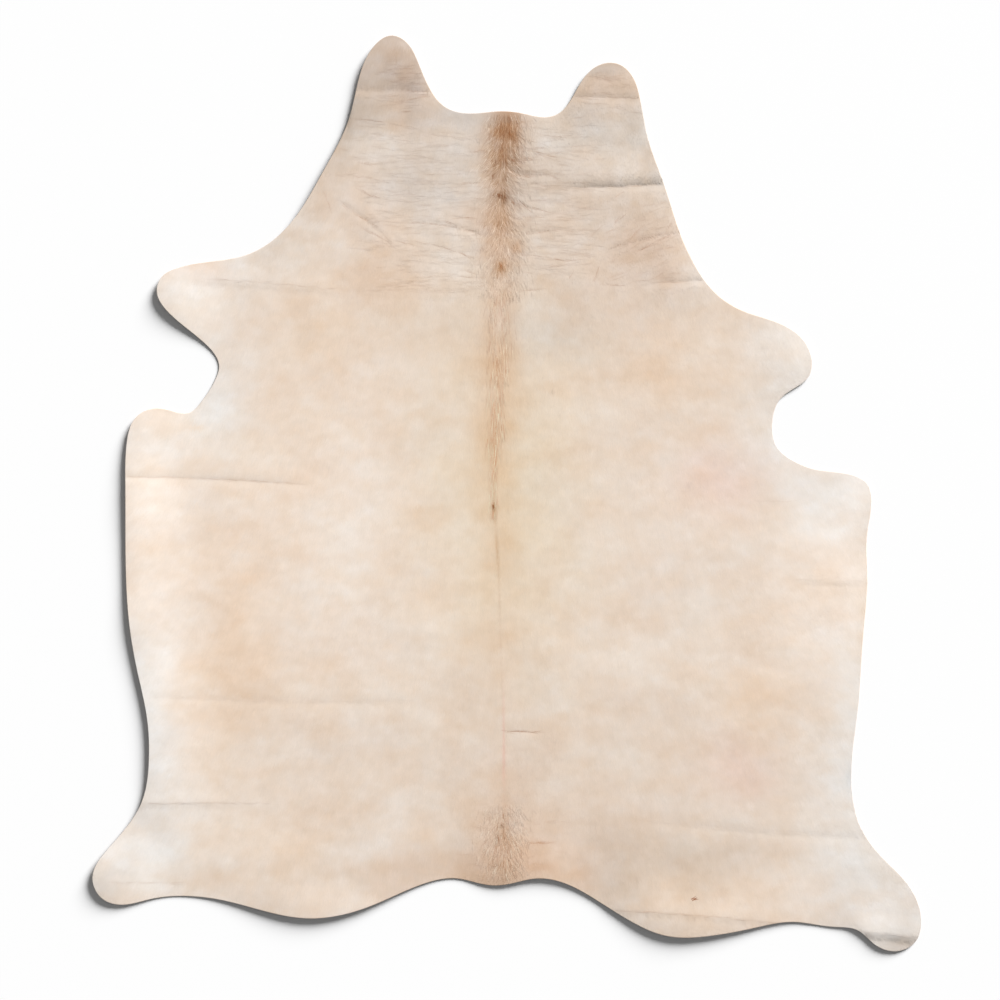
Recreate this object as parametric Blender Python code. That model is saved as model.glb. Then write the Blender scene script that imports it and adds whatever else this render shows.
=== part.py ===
"""A cowhide with its hair on, laid flat with the hair side up.

Metres, +Z up, +Y towards the neck. The origin is the middle of the hide's own box, at the surface
that it lies on.
"""

import math

import bpy
import numpy as np
from mathutils import Vector
from mathutils.geometry import delaunay_2d_cdt

MM = 0.001

# Driving sizes
HIDE_LENGTH = 2.197  # ear tip to the end of the hind leg
HIDE_WIDTH = 1.988  # hind leg to hind leg
HIDE_THICKNESS = 0.0035  # leather with its short coat pressed flat

# How finely the sheet is cut into faces
RIM_STEP = 0.022
FIELD_STEP = 0.062
CREASE_STEP = 0.044
CREASE_ROWS = (-2.1, -1.0, -0.45, 0.0, 0.45, 1.0, 2.1)  # in widths of the crease
CREASE_APART = 0.010  # nearer points of two rows are made one
CREASE_FEWEST = 3  # points along a short crease
FIELD_APART = 0.6 * FIELD_STEP
EDGE_CLEAR = 0.5 * RIM_STEP  # no inner point lies nearer to the edge
CURVE_STEP = 0.004  # along the smooth edge, before it is cut into RIM_STEP

# The trimmed edge, clockwise seen from above: each section's points in mm from the hide's middle
OUTLINE = {
    "left ear": ((-330, 1060), (-275, 1101), (-240, 1084), (-218, 1048), (-180, 965), (-152, 933)),
    "poll": ((-105, 916), (-19, 920), (42, 914), (103, 907), (124, 915)),
    "right ear": ((146, 937), (166, 970), (181, 995), (205, 1021), (246, 1036), (274, 1030), (298, 1008)),
    "right neck": ((319, 950), (341, 845), (376, 747), (415, 628), (449, 554), (498, 486)),
    "right foreleg": ((564, 442), (647, 414), (706, 377), (730, 330), (725, 285), (690, 255)),
    "right armpit": ((653, 226), (638, 184), (648, 115), (690, 80)),
    "right chest corner": ((744, 60), (830, 47), (864, 27), (874, -4)),
    "right belly": ((864, -100), (865, -186), (854, -349), (844, -500), (831, -607), (829, -720)),
    "right hind leg": ((849, -799), (904, -874), (966, -941), (987, -984), (994, -1026), (980, -1073)),
    "right hind tip": ((934, -1096), (878, -1077), (841, -1046), (782, -1038)),
    "right buttock": ((685, -1026), (590, -1040), (485, -1058), (382, -1058), (290, -1020), (202, -966)),
    "tail": ((136, -932), (67, -921), (-5, -936), (-47, -937), (-120, -922)),
    "left buttock": ((-211, -938), (-328, -987), (-427, -1013), (-470, -1016), (-552, -1006), (-677, -975)),
    "left hind leg": ((-778, -964), (-859, -972), (-929, -984), (-972, -968), (-994, -918), (-959, -852)),
    "left belly": ((-876, -736), (-859, -635), (-864, -533), (-887, -423), (-907, -299), (-915, -138)),
    "left chest corner": ((-915, 18), (-912, 124), (-892, 183), (-835, 207)),
    "left armpit": ((-759, 198), (-737, 219), (-699, 280), (-692, 304)),
    "left foreleg": ((-730, 366), (-809, 433), (-840, 488), (-826, 524), (-797, 541), (-706, 560)),
    "left neck": ((-619, 578), (-534, 635), (-497, 680), (-439, 778), (-380, 900), (-353, 1007)),
}

# Creases left by folding the hide, in mm. A trough touches the surface along its line and lifts the
# hide on both sides. A ridge lifts it along the line. bow is how far the middle stands off the
# straight line, and width is how far the slope reaches on the side towards the neck and the tail.
# Each end rises over its fade, and a crease that runs off the hide ends outside its edge.
TROUGH, RIDGE = "trough", "ridge"
CREASE_COLUMNS = "name kind x0 y0 x1 y1 bow neck_lift neck_width tail_lift tail_width fade0 fade1".split()
CREASES = (
    ("left ear fold", TROUGH, -386, 973, -120, 965, 5, 0.5, 24, 1.3, 44, 20, 90),
    ("right ear fold", TROUGH, 92, 956, 372, 948, 2, 0.45, 20, 0.9, 34, 80, 50),
    ("right neck fold", TROUGH, 95, 737, 430, 747, -3, 2.2, 26, 0.9, 34, 130, 50),
    ("right shoulder fold", TROUGH, 310, 505, 560, 520, 0, 0.6, 24, 0.9, 26, 100, 90),
    ("left shoulder fold", RIDGE, -765, 520, -385, 491, 2, 0.4, 20, 0.4, 8, 90, 60),
    ("left belly fold", TROUGH, -960, 44, -440, 20, 5, 0.5, 22, 0.5, 36, 40, 160),
    ("left flank fold", TROUGH, -884, -481, -170, -493, -8, 0.4, 34, 0.4, 40, 60, 160),
    ("right belly fold", RIDGE, 670, -203, 910, -209, 0, 0.3, 18, 0.3, 5, 90, 40),
    ("left thigh fold", RIDGE, -930, -742, -540, -742, 2, 0.5, 17, 0.5, 5, 50, 170),
    ("right thigh fold", TROUGH, 300, -777, 910, -823, -9, 0.4, 30, 0.4, 40, 180, 60),
    ("right buttock fold", RIDGE, 215, -996, 700, -1036, 7, 0.5, 17, 0.5, 4, 60, 60),
    ("right hind tip bend", RIDGE, 800, -1041, 1010, -1066, 0, 1.6, 26, 1.6, 7, 50, 30),
    ("left neck wrinkle", TROUGH, -415, 712, -270, 596, 7, 0.3, 14, 0.3, 14, 45, 60),
    ("right neck wrinkle", TROUGH, 215, 581, 428, 636, 3, 0.3, 14, 0.3, 14, 60, 16),
    ("left spine wrinkle", TROUGH, -195, 656, -45, 620, 2, 0.3, 13, 0.3, 13, 50, 30),
    ("right spine wrinkle", TROUGH, 10, 624, 155, 642, 0, 0.3, 13, 0.3, 13, 25, 50),
    ("upper spine wrinkle", TROUGH, -8, 784, 125, 767, -6, 0.4, 14, 0.4, 14, 25, 50),
)
TROUGH_REACH = 4.0  # in widths, how far a trough's slopes run out
RIDGE_REACH = 2.1

# Stretches of the edge that stand off the surface, in mm: middle of the stretch, its reach and lift
EDGE_COLUMNS = "name x y reach lift".split()
EDGE_LIFTS = (
    ("left ear", -340, 1050, 130, 10),
    ("right ear", 215, 1025, 100, 5),
    ("right neck", 395, 690, 150, 2),
    ("right foreleg", 735, 330, 120, 4),
    ("right chest corner", 870, 10, 110, 2),
    ("right belly", 858, -330, 230, 1),
    ("right hind leg", 960, -930, 110, 2),
    ("right hind tip", 880, -1080, 100, 6),
    ("right buttock", 440, -1060, 220, 13),
    ("tail", 60, -925, 120, 9),
    ("left buttock", -440, -1015, 230, 13),
    ("left hind leg", -990, -920, 120, 12),
    ("left thigh", -860, -620, 170, 11),
    ("left belly", -905, -300, 200, 12),
    ("left chest", -915, 20, 160, 12),
    ("left chest corner", -900, 190, 90, 4),
    ("left foreleg", -835, 460, 120, 12),
    ("left neck", -450, 760, 180, 11),
)
EDGE_BAND = 0.220  # how far in from the edge a lifted stretch reaches
EDGE_SOFT = 0.035  # radius of the ring over which its rise is averaged
RING_PLACES = 6  # places on that ring
EDGE_FADE = 1.6  # in reaches, where a lifted stretch ends along the edge
SAME_PLACE = 1e-6  # nearer points than this are one

HAIR_COLOUR = (0.80, 0.69, 0.57, 1.0)
HAIR_ROUGHNESS = 0.62


def rows(columns, table):
    """Each row of a table as a dictionary by column name."""
    return [dict(zip(columns, row)) for row in table]


def smooth_step(share):
    """0 to 1 with level ends."""
    share = np.clip(share, 0.0, 1.0)
    return share * share * (3.0 - 2.0 * share)


def round_spline(points, step):
    """A closed smooth curve through the points, with bends shared out as in a bent lath."""
    count = len(points)
    after = np.roll(points, -1, axis=0)
    chord = np.linalg.norm(after - points, axis=1)
    before = np.roll(chord, 1)
    matrix = np.zeros((count, count))
    index = np.arange(count)
    matrix[index, index] = 2.0 * (chord + before)
    matrix[index, (index + 1) % count] = before
    matrix[index, (index - 1) % count] = chord
    slope_after = (after - points) / chord[:, None]
    slope_before = np.roll(slope_after, 1, axis=0)
    right = 3.0 * (before[:, None] * slope_after + chord[:, None] * slope_before)
    slope = np.linalg.solve(matrix, right)
    curve = []
    for i in range(count):
        j = (i + 1) % count
        for t in np.arange(0.0, 1.0, step / chord[i]):
            curve.append(
                (2 * t**3 - 3 * t**2 + 1) * points[i]
                + (t**3 - 2 * t**2 + t) * chord[i] * slope[i]
                + (3 * t**2 - 2 * t**3) * points[j]
                + (t**3 - t**2) * chord[i] * slope[j]
            )
    return np.array(curve)


def even_steps(curve, step):
    """A closed curve cut again into equal steps of about this length."""
    closed = np.vstack([curve, curve[:1]])
    along = np.concatenate([[0.0], np.cumsum(np.linalg.norm(np.diff(closed, axis=0), axis=1))])
    count = round(along[-1] / step)
    at = np.arange(count) * along[-1] / count
    return np.column_stack([np.interp(at, along, closed[:, axis]) for axis in (0, 1)])


def trough_profile(far):
    """A trough's slope by the distance from its line in widths: 0 on the line, 1 at one width."""
    foot = TROUGH_REACH * math.exp(1.0 - TROUGH_REACH)
    profile = np.where(far < TROUGH_REACH, far * np.exp(1.0 - far), 0.0)
    return np.maximum(profile - foot, 0.0) / (1.0 - foot)


def ring_shifts():
    """Steps to places evenly round a ring, as far out as the lifted edges are softened."""
    turn = np.arange(RING_PLACES) * 2.0 * math.pi / RING_PLACES
    return EDGE_SOFT * np.column_stack([np.cos(turn), np.sin(turn)])


class Hide:
    """The hide's edge, and the height of its lower face over the surface that it lies on."""

    def __init__(self):
        drawn = np.array([point for section in OUTLINE.values() for point in section]) * MM
        curve = round_spline(drawn, CURVE_STEP)
        low, high = curve.min(axis=0), curve.max(axis=0)
        self.middle = (low + high) / 2
        self.scale = np.array([HIDE_WIDTH, HIDE_LENGTH]) / (high - low)
        self.fine_edge = self.placed(curve)
        self.edge = even_steps(self.fine_edge, RIM_STEP)
        self.creases = rows(CREASE_COLUMNS, CREASES)
        self.edge_lifts = rows(EDGE_COLUMNS, EDGE_LIFTS)

    def placed(self, points):
        """Points of the drawing, in metres, moved and sized so that the hide fills its own box."""
        return (np.asarray(points, float) - self.middle) * self.scale

    def from_edge(self, points):
        """The distance from each point to the hide's edge."""
        start = self.fine_edge
        run = np.roll(start, -1, axis=0) - start
        nearest = np.full(len(points), np.inf)
        for a, d in zip(start, run):
            share = np.clip(((points - a) @ d) / (d @ d), 0.0, 1.0)
            gap = np.linalg.norm(points - a - share[:, None] * d, axis=1)
            nearest = np.minimum(nearest, gap)
        return nearest

    def inside(self, points):
        """Whether each point lies inside the edge."""
        x, y = points[:, 0], points[:, 1]
        odd = np.zeros(len(points), bool)
        after = np.roll(self.fine_edge, -1, axis=0)
        for (ax, ay), (bx, by) in zip(self.fine_edge, after):
            if ay == by:
                continue
            crosses = (ay > y) != (by > y)
            odd ^= crosses & (x < ax + (y - ay) * (bx - ax) / (by - ay))
        return odd

    def crease_line(self, crease):
        """A crease's start, its run to the other end, its length and the way to its neck side."""
        drawn = np.array([(crease["x0"], crease["y0"]), (crease["x1"], crease["y1"])]) * MM
        start, end = self.placed(drawn)
        run = end - start
        length = np.linalg.norm(run)
        return start, run, length, np.array([-run[1], run[0]]) / length

    def bow(self, crease, share):
        """How far a crease stands off its straight line at a share of its length."""
        return 4.0 * crease["bow"] * MM * share * (1.0 - share)

    def along_crease(self, crease, share, off):
        """Points at each share of a crease's length, all the same way off to its neck side."""
        start, run, _, neckward = self.crease_line(crease)
        return start + share[:, None] * run + (self.bow(crease, share) + off)[:, None] * neckward

    def crease_height(self, crease, points):
        """How far one crease lifts the hide at each point."""
        start, run, length, neckward = self.crease_line(crease)
        share = (points - start) @ run / length**2
        off = (points - start) @ neckward - self.bow(crease, share)
        neck_side = off > 0.0
        width = np.where(neck_side, crease["neck_width"], crease["tail_width"]) * MM
        lift = np.where(neck_side, crease["neck_lift"], crease["tail_lift"]) * MM
        far = np.abs(off) / width
        start_fade = smooth_step(share * length / (crease["fade0"] * MM))
        end_fade = smooth_step((1.0 - share) * length / (crease["fade1"] * MM))
        lift = lift * start_fade * end_fade
        if crease["kind"] == RIDGE:
            return lift * smooth_step(1.0 - far / RIDGE_REACH)
        return lift * trough_profile(far)

    def height(self, points):
        """The height of the lower face at each point: 0 where the hide lies on the surface."""
        total = np.zeros(len(points))
        for crease in self.creases:
            total = total + self.crease_height(crease, points)
        rise = np.zeros(len(points))
        for shift in ring_shifts():
            rise = rise + smooth_step(1.0 - self.from_edge(points + shift) / EDGE_BAND) / RING_PLACES
        for row in self.edge_lifts:
            gap = np.linalg.norm(points - self.placed([(row["x"] * MM, row["y"] * MM)]), axis=1)
            near = smooth_step(1.0 - gap / (EDGE_FADE * row["reach"] * MM))
            total = total + row["lift"] * MM * near * rise
        return total


def crease_points(hide):
    """Rows of points along each crease, so that the faces bend where the hide does."""
    found = []
    for crease in hide.creases:
        length = math.hypot(crease["x1"] - crease["x0"], crease["y1"] - crease["y0"]) * MM
        share = np.linspace(0.0, 1.0, max(CREASE_FEWEST, round(length / CREASE_STEP)))
        for row in CREASE_ROWS:
            width = crease["neck_width"] if row > 0 else crease["tail_width"]
            found.append(hide.along_crease(crease, share, row * width * MM))
    return np.vstack(found)


def field_points():
    """An even triangular pattern of points over the hide's box."""
    row_gap = FIELD_STEP * math.sqrt(3.0) / 2.0
    found = []
    for row, y in enumerate(np.arange(-HIDE_LENGTH / 2, HIDE_LENGTH / 2, row_gap)):
        start = -HIDE_WIDTH / 2 + (row % 2) * FIELD_STEP / 2
        found += [(x, y) for x in np.arange(start, HIDE_WIDTH / 2, FIELD_STEP)]
    return np.array(found)


def thinned(groups):
    """The points of each group in turn that keep the group's own distance from those already kept."""
    kept = np.empty((0, 2))
    for points, apart in groups:
        for point in points:
            if len(kept) == 0 or np.min(np.linalg.norm(kept - point, axis=1)) > apart:
                kept = np.vstack([kept, point])
    return kept


def sheet_points(hide):
    """The points inside the edge that the sheet's faces join."""
    found = []
    for points, apart in ((crease_points(hide), CREASE_APART), (field_points(), FIELD_APART)):
        points = points[hide.inside(points)]
        found.append((points[hide.from_edge(points) > EDGE_CLEAR], apart))
    return thinned(found)


def make_material():
    material = bpy.data.materials.new("cream_hair")
    material.use_nodes = True
    shader = material.node_tree.nodes["Principled BSDF"]
    shader.inputs["Base Color"].default_value = HAIR_COLOUR
    shader.inputs["Roughness"].default_value = HAIR_ROUGHNESS
    shader.inputs["Metallic"].default_value = 0.0
    return material


def make_cowhide():
    """The hide's lower face, made thick by a Solidify modifier on its hair side."""
    hide = Hide()
    rim = len(hide.edge)
    flat = np.vstack([hide.edge, sheet_points(hide)])
    corners, _, faces, *_ = delaunay_2d_cdt(
        [Vector(point) for point in flat],
        [(i, (i + 1) % rim) for i in range(rim)],
        [list(range(rim))],
        1,
        SAME_PLACE,
    )
    ground = np.array([tuple(corner) for corner in corners])
    height = hide.height(ground)
    mesh = bpy.data.meshes.new("cowhide")
    mesh.from_pydata(np.column_stack([ground, height]).tolist(), [], [list(face) for face in faces])
    mesh.validate()
    mesh.shade_smooth()
    cowhide = bpy.data.objects.new("cowhide", mesh)
    bpy.context.collection.objects.link(cowhide)
    mesh.materials.append(make_material())
    thick = cowhide.modifiers.new("leather and coat", "SOLIDIFY")
    thick.thickness = HIDE_THICKNESS
    thick.offset = 1.0
    return cowhide


def main():
    for thing in list(bpy.data.objects):
        bpy.data.objects.remove(thing)
    make_cowhide()


main()
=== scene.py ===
"""The looks of a cowhide laid flat with its hair side up: a fine sheet of leather on the solid's folds,
its short coat in small locks, and the longer tufts down its spine. Metres, +Z up, +Y towards the neck."""

import math

import bpy
import numpy as np
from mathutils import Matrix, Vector
from mathutils.geometry import delaunay_2d_cdt
from mathutils.kdtree import KDTree


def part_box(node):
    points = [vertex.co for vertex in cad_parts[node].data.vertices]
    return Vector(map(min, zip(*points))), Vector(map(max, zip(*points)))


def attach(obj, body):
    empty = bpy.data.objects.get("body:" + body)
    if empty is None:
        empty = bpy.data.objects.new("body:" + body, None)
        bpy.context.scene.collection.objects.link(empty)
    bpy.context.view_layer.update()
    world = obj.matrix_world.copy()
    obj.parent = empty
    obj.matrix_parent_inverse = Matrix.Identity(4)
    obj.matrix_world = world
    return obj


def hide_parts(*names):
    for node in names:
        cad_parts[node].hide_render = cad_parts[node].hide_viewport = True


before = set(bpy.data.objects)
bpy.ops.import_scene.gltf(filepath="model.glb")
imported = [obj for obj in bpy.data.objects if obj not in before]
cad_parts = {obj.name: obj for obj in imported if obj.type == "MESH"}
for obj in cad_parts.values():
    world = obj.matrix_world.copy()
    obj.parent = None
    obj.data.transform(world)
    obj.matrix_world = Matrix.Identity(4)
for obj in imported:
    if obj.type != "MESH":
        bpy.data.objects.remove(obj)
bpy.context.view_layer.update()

MM = 0.001

# The leather, inside the solid's own edge and folds
LEATHER_THICKNESS = 0.0022
COAT_INSET = 0.0007  # the coat stays this far inside the cut edge
RIM_STEP = 0.008
FIELD_STEP = 0.0082
UNDER_STEP = 0.020
CURVE_STEP = 0.004
EDGE_SAMPLE = 0.001
RISE_CELL = 0.006
NEARNESS = 1e-7
SLOPE_STEP = 0.003  # over which the way that the hair side faces is measured
# The leather's points, in field steps: rows along a crease, the least gap of the field, and margins inside
# the edge. The suede side's margin is in its own steps, and the least gap along creases in metres.
CREASE_ROWS = (-0.5, 0.0, 0.5)
FIELD_APART = 0.62
CREASE_MARGIN = 0.25
FIELD_MARGIN = 0.5
UNDER_MARGIN = 0.4
CREASE_APART = 0.0009
# Loops round the cut edge: how far in from it, and the share of the thickness
RIM_LOOPS = ((0.0022, 1.0), (0.0010, 1.0), (0.0002, 0.90), (0.0, 0.45), (0.0003, 0.12), (0.0011, 0.0))
HAIR_RINGS = 2  # of the rings between those loops

# The trimmed edge, clockwise seen from above: each section's points in mm from the hide's middle
OUTLINE = {
    "left ear": ((-330, 1060), (-275, 1101), (-240, 1084), (-218, 1048), (-180, 965), (-152, 933)),
    "poll": ((-105, 916), (-19, 920), (42, 914), (103, 907), (124, 915)),
    "right ear": ((146, 937), (166, 970), (181, 995), (205, 1021), (246, 1036), (274, 1030), (298, 1008)),
    "right neck": ((319, 950), (341, 845), (376, 747), (415, 628), (449, 554), (498, 486)),
    "right foreleg": ((564, 442), (647, 414), (706, 377), (730, 330), (725, 285), (690, 255)),
    "right armpit": ((653, 226), (638, 184), (648, 115), (690, 80)),
    "right chest corner": ((744, 60), (830, 47), (864, 27), (874, -4)),
    "right belly": ((864, -100), (865, -186), (854, -349), (844, -500), (831, -607), (829, -720)),
    "right hind leg": ((849, -799), (904, -874), (966, -941), (987, -984), (994, -1026), (980, -1073)),
    "right hind tip": ((934, -1096), (878, -1077), (841, -1046), (782, -1038)),
    "right buttock": ((685, -1026), (590, -1040), (485, -1058), (382, -1058), (290, -1020), (202, -966)),
    "tail": ((136, -932), (67, -921), (-5, -936), (-47, -937), (-120, -922)),
    "left buttock": ((-211, -938), (-328, -987), (-427, -1013), (-470, -1016), (-552, -1006), (-677, -975)),
    "left hind leg": ((-778, -964), (-859, -972), (-929, -984), (-972, -968), (-994, -918), (-959, -852)),
    "left belly": ((-876, -736), (-859, -635), (-864, -533), (-887, -423), (-907, -299), (-915, -138)),
    "left chest corner": ((-915, 18), (-912, 124), (-892, 183), (-835, 207)),
    "left armpit": ((-759, 198), (-737, 219), (-699, 280), (-692, 304)),
    "left foreleg": ((-730, 366), (-809, 433), (-840, 488), (-826, 524), (-797, 541), (-706, 560)),
    "left neck": ((-619, 578), (-534, 635), (-497, 680), (-439, 778), (-380, 900), (-353, 1007)),
}

# Creases left by folding the hide, in mm. A trough touches the surface along its line and lifts the
# hide on both sides. A ridge lifts it along the line. bow is how far the middle stands off the
# straight line, and width is how far the slope reaches on the side towards the neck and the tail.
# Each end rises over its fade, and a crease that runs off the hide ends outside its edge. line is how
# much darker its line is, as painted shade in the crease, in steps of 255, and how far that reaches on
# each side. strands is how dark the fine strands that lie along it are, which paint more of that shade.
TROUGH, RIDGE = "trough", "ridge"
CREASE_COLUMNS = (
    "kind x0 y0 x1 y1 bow neck_lift neck_width tail_lift tail_width fade0 fade1"
    " line line_neck line_tail strands"
).split()
CREASES = (
    (TROUGH, -386, 973, -120, 965, 5, 0.5, 24, 1.3, 44, 20, 90, 3, 6, 4, 6),  # left ear fold
    (TROUGH, 92, 956, 372, 948, 2, 0.45, 20, 0.9, 34, 80, 50, 5, 6, 4, 10),  # right ear fold
    (TROUGH, 95, 737, 430, 747, -3, 2.2, 26, 0.9, 34, 130, 50, 7, 9, 4, 13),  # right neck fold
    (TROUGH, 310, 505, 560, 520, 0, 0.6, 24, 0.9, 26, 100, 90, 6, 6, 4, 12),  # right shoulder fold
    (RIDGE, -765, 520, -385, 491, 2, 0.4, 20, 0.4, 8, 90, 60, 3, 3, 4, 9),  # left shoulder fold
    (TROUGH, -960, 44, -440, 20, 5, 0.5, 22, 0.5, 36, 40, 160, 6, 6, 4, 16),  # left belly fold
    (TROUGH, -884, -481, -170, -493, -8, 0.4, 34, 0.4, 40, 60, 160, 2, 6, 5, 3),  # left flank fold
    (RIDGE, 670, -203, 910, -209, 0, 0.3, 18, 0.3, 5, 90, 40, 1.5, 3, 3, 2),  # right belly fold
    (RIDGE, -930, -742, -540, -742, 2, 0.5, 17, 0.5, 5, 50, 170, 5, 3, 4, 12),  # left thigh fold
    (TROUGH, 300, -777, 910, -823, -9, 0.4, 30, 0.4, 40, 180, 60, 2, 6, 5, 2),  # right thigh fold
    (RIDGE, 215, -996, 700, -1036, 7, 0.5, 17, 0.5, 4, 60, 60, 4, 4, 5, 14),  # right buttock fold
    # The right hind tip's line reaches far on the tail side: painted shade over the tip, bent down past the
    # crease.
    (RIDGE, 800, -1041, 1010, -1066, 0, 1.6, 26, 1.6, 7, 50, 30, 15, 2, 26, 8),  # right hind tip bend
    (TROUGH, -415, 712, -270, 596, 7, 0.3, 14, 0.3, 14, 45, 60, 3, 5, 5, 12),  # left neck wrinkle
    (TROUGH, 215, 581, 428, 636, 3, 0.3, 14, 0.3, 14, 60, 16, 3, 5, 5, 12),  # right neck wrinkle
    (TROUGH, -195, 656, -45, 620, 2, 0.3, 13, 0.3, 13, 50, 30, 3, 5, 5, 14),  # left spine wrinkle
    (TROUGH, 10, 624, 155, 642, 0, 0.3, 13, 0.3, 13, 25, 50, 3, 5, 5, 14),  # right spine wrinkle
    (TROUGH, -8, 784, 125, 767, -6, 0.4, 14, 0.4, 14, 25, 50, 3, 5, 5, 12),  # upper spine wrinkle
)
TROUGH_REACH = 4.0  # in widths, how far a trough's slopes run out
RIDGE_REACH = 2.1
WOBBLE = 0.0015  # how far creases and wrinkles stray from a clean curve
WOBBLE_CELL = 0.018
WOBBLE_SHIFT = 0.37  # gives each line its own place in the noise

# Stretches of the edge that stand off the surface, in mm: middle of the stretch, its reach and lift
EDGE_COLUMNS = "x y reach lift".split()
EDGE_LIFTS = (
    (-340, 1050, 130, 10),  # left ear
    (215, 1025, 100, 5),  # right ear
    (395, 690, 150, 2),  # right neck
    (735, 330, 120, 4),  # right foreleg
    (870, 10, 110, 2),  # right chest corner
    (858, -330, 230, 1),  # right belly
    (960, -930, 110, 2),  # right hind leg
    (880, -1080, 100, 6),  # right hind tip
    (440, -1060, 220, 13),  # right buttock
    (60, -925, 120, 9),  # tail
    (-440, -1015, 230, 13),  # left buttock
    (-990, -920, 120, 12),  # left hind leg
    (-860, -620, 170, 11),  # left thigh
    (-905, -300, 200, 12),  # left belly
    (-915, 20, 160, 12),  # left chest
    (-900, 190, 90, 4),  # left chest corner
    (-835, 460, 120, 12),  # left foreleg
    (-450, 760, 180, 11),  # left neck
)
EDGE_BAND = 0.220  # how far in from the edge a lifted stretch reaches
EDGE_SOFT = 0.035  # radius of the ring over which its rise is averaged
RING_PLACES = 6  # places on that ring
EDGE_FADE = 1.6  # in reaches, where a lifted stretch ends along the edge

# Fine wrinkles in the hair side, in mm: two ends, bow and relative depth
WRINKLE_COLUMNS = "x0 y0 x1 y1 bow depth".split()
WRINKLES = (
    # Left ear
    (-275, 1022, -217, 1023, 0, 0.5), (-250, 1008, -211, 1012, 0, 0.6), (-247, 998, -226, 1000, 0, 0.5),
    (-235, 985, -193, 986, 0, 1.4), (-257, 969, -185, 968, -1, 1.4), (-223, 957, -182, 957, 0, 1.1),
    (-374, 899, -288, 894, 1, 0.9), (-266, 916, -236, 919, 0, 0.6), (-277, 1087, -265, 1038, 1, 0.35),
    # Right ear
    (175, 938, 223, 937, 0, 0.5), (142, 904, 170, 905, 0, 0.4), (199, 1000, 252, 990, 1, 0.5),
    # Left of the neck
    (-108, 821, -42, 825, 0, 1.0), (-120, 745, -56, 750, 0, 1.0), (-95, 712, -66, 711, 0, 0.7),
    (-73, 788, -53, 798, 0, 0.5), (-137, 661, -65, 666, 0, 0.9), (-161, 658, -107, 636, 1, 0.9),
    (-107, 636, -56, 624, 0, 1.2), (-185, 602, -132, 587, 0, 1.1), (-132, 587, -86, 570, 0, 1.0),
    (-120, 539, -83, 535, 0, 0.7), (-126, 523, -49, 520, 0, 0.9), (-104, 500, -49, 499, 0, 0.8),
    (-209, 525, -181, 525, 0, 0.5), (-257, 655, -115, 642, 1, 0.8), (-154, 815, -115, 818, 0, 0.5),
    (-190, 745, -161, 745, 0, 0.5), (-209, 769, -178, 769, 0, 0.5), (-223, 695, -170, 690, 0, 0.5),
    (-276, 611, -214, 594, 0, 0.6),
    # Left side of the neck
    (-362, 797, -326, 792, 0, 1.0), (-379, 762, -324, 760, 0, 0.7), (-365, 737, -310, 709, -1, 1.0),
    (-402, 704, -380, 683, 0, 0.9), (-372, 676, -317, 649, -1, 1.0), (-353, 644, -286, 608, 0, 0.8),
    (-444, 736, -425, 690, 0, 0.5),
    # Right of the neck
    (42, 832, 98, 831, 0, 0.9), (36, 827, 97, 817, 0, 0.9), (24, 804, 57, 806, 0, 1.0),
    (1, 784, 24, 768, 0, 1.0), (24, 768, 60, 765, 0, 0.9), (60, 765, 106, 767, 0, 0.7),
    (43, 748, 126, 738, 0, 0.9),
    # Sweep from the spine
    (0, 784, 67, 764, -7, 1.3), (14, 776, 127, 755, 9, 0.9), (7, 803, 62, 804, -2, 1.2),
    (50, 817, 122, 812, 0, 0.9), (14, 724, 42, 694, -2, 1.4), (26, 700, 103, 678, -3, 1.2),
    (8, 815, 60, 800, 3, 1.0), (-30, 758, 12, 742, 3, 1.0), (-66, 700, -32, 692, 3, 0.9),
    (-70, 640, -38, 632, 2, 0.9),
    # Right of the neck
    (40, 705, 98, 707, 0, 0.8), (26, 705, 45, 689, 0, 1.0), (25, 667, 79, 665, 0, 1.3),
    (28, 624, 126, 635, 0, 0.9), (22, 574, 82, 572, 0, 1.0), (82, 572, 127, 562, 0, 1.0),
    (127, 562, 168, 561, 0, 0.8), (80, 544, 144, 551, 0, 0.6), (23, 487, 78, 492, 0, 1.0),
    (70, 865, 127, 858, 0, 0.5), (108, 793, 163, 788, 0, 0.5),
    # Across the spine
    (-46, 644, -2, 648, 0, 1.0), (-32, 476, 14, 486, 0, 1.0),
    # Right side of the neck
    (254, 648, 283, 674, 0, 1.2), (240, 588, 273, 601, 0, 1.0), (277, 588, 324, 642, 1, 0.7),
    (310, 584, 350, 604, 0, 1.3), (350, 604, 408, 631, 0, 1.3), (314, 604, 348, 617, 0, 1.0),
    (378, 623, 395, 652, 0, 0.8), (362, 536, 374, 546, 0, 0.7), (218, 503, 281, 503, 0, 0.7),
    (204, 505, 217, 539, 0, 0.7), (144, 515, 157, 530, 0, 0.7), (247, 552, 264, 565, 0, 0.7),
    (187, 611, 223, 640, 0, 0.5), (319, 692, 358, 700, 0, 0.5),
    # Lower spine
    (42, -835, 103, -833, 0, 0.9), (-16, -567, 86, -571, 0, 1.5),
    # Left hind leg
    (-979, -932, -763, -932, 0, 0.35),
    # Right chest
    (590, -16, 691, -16, 0, 0.4),
)
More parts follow.
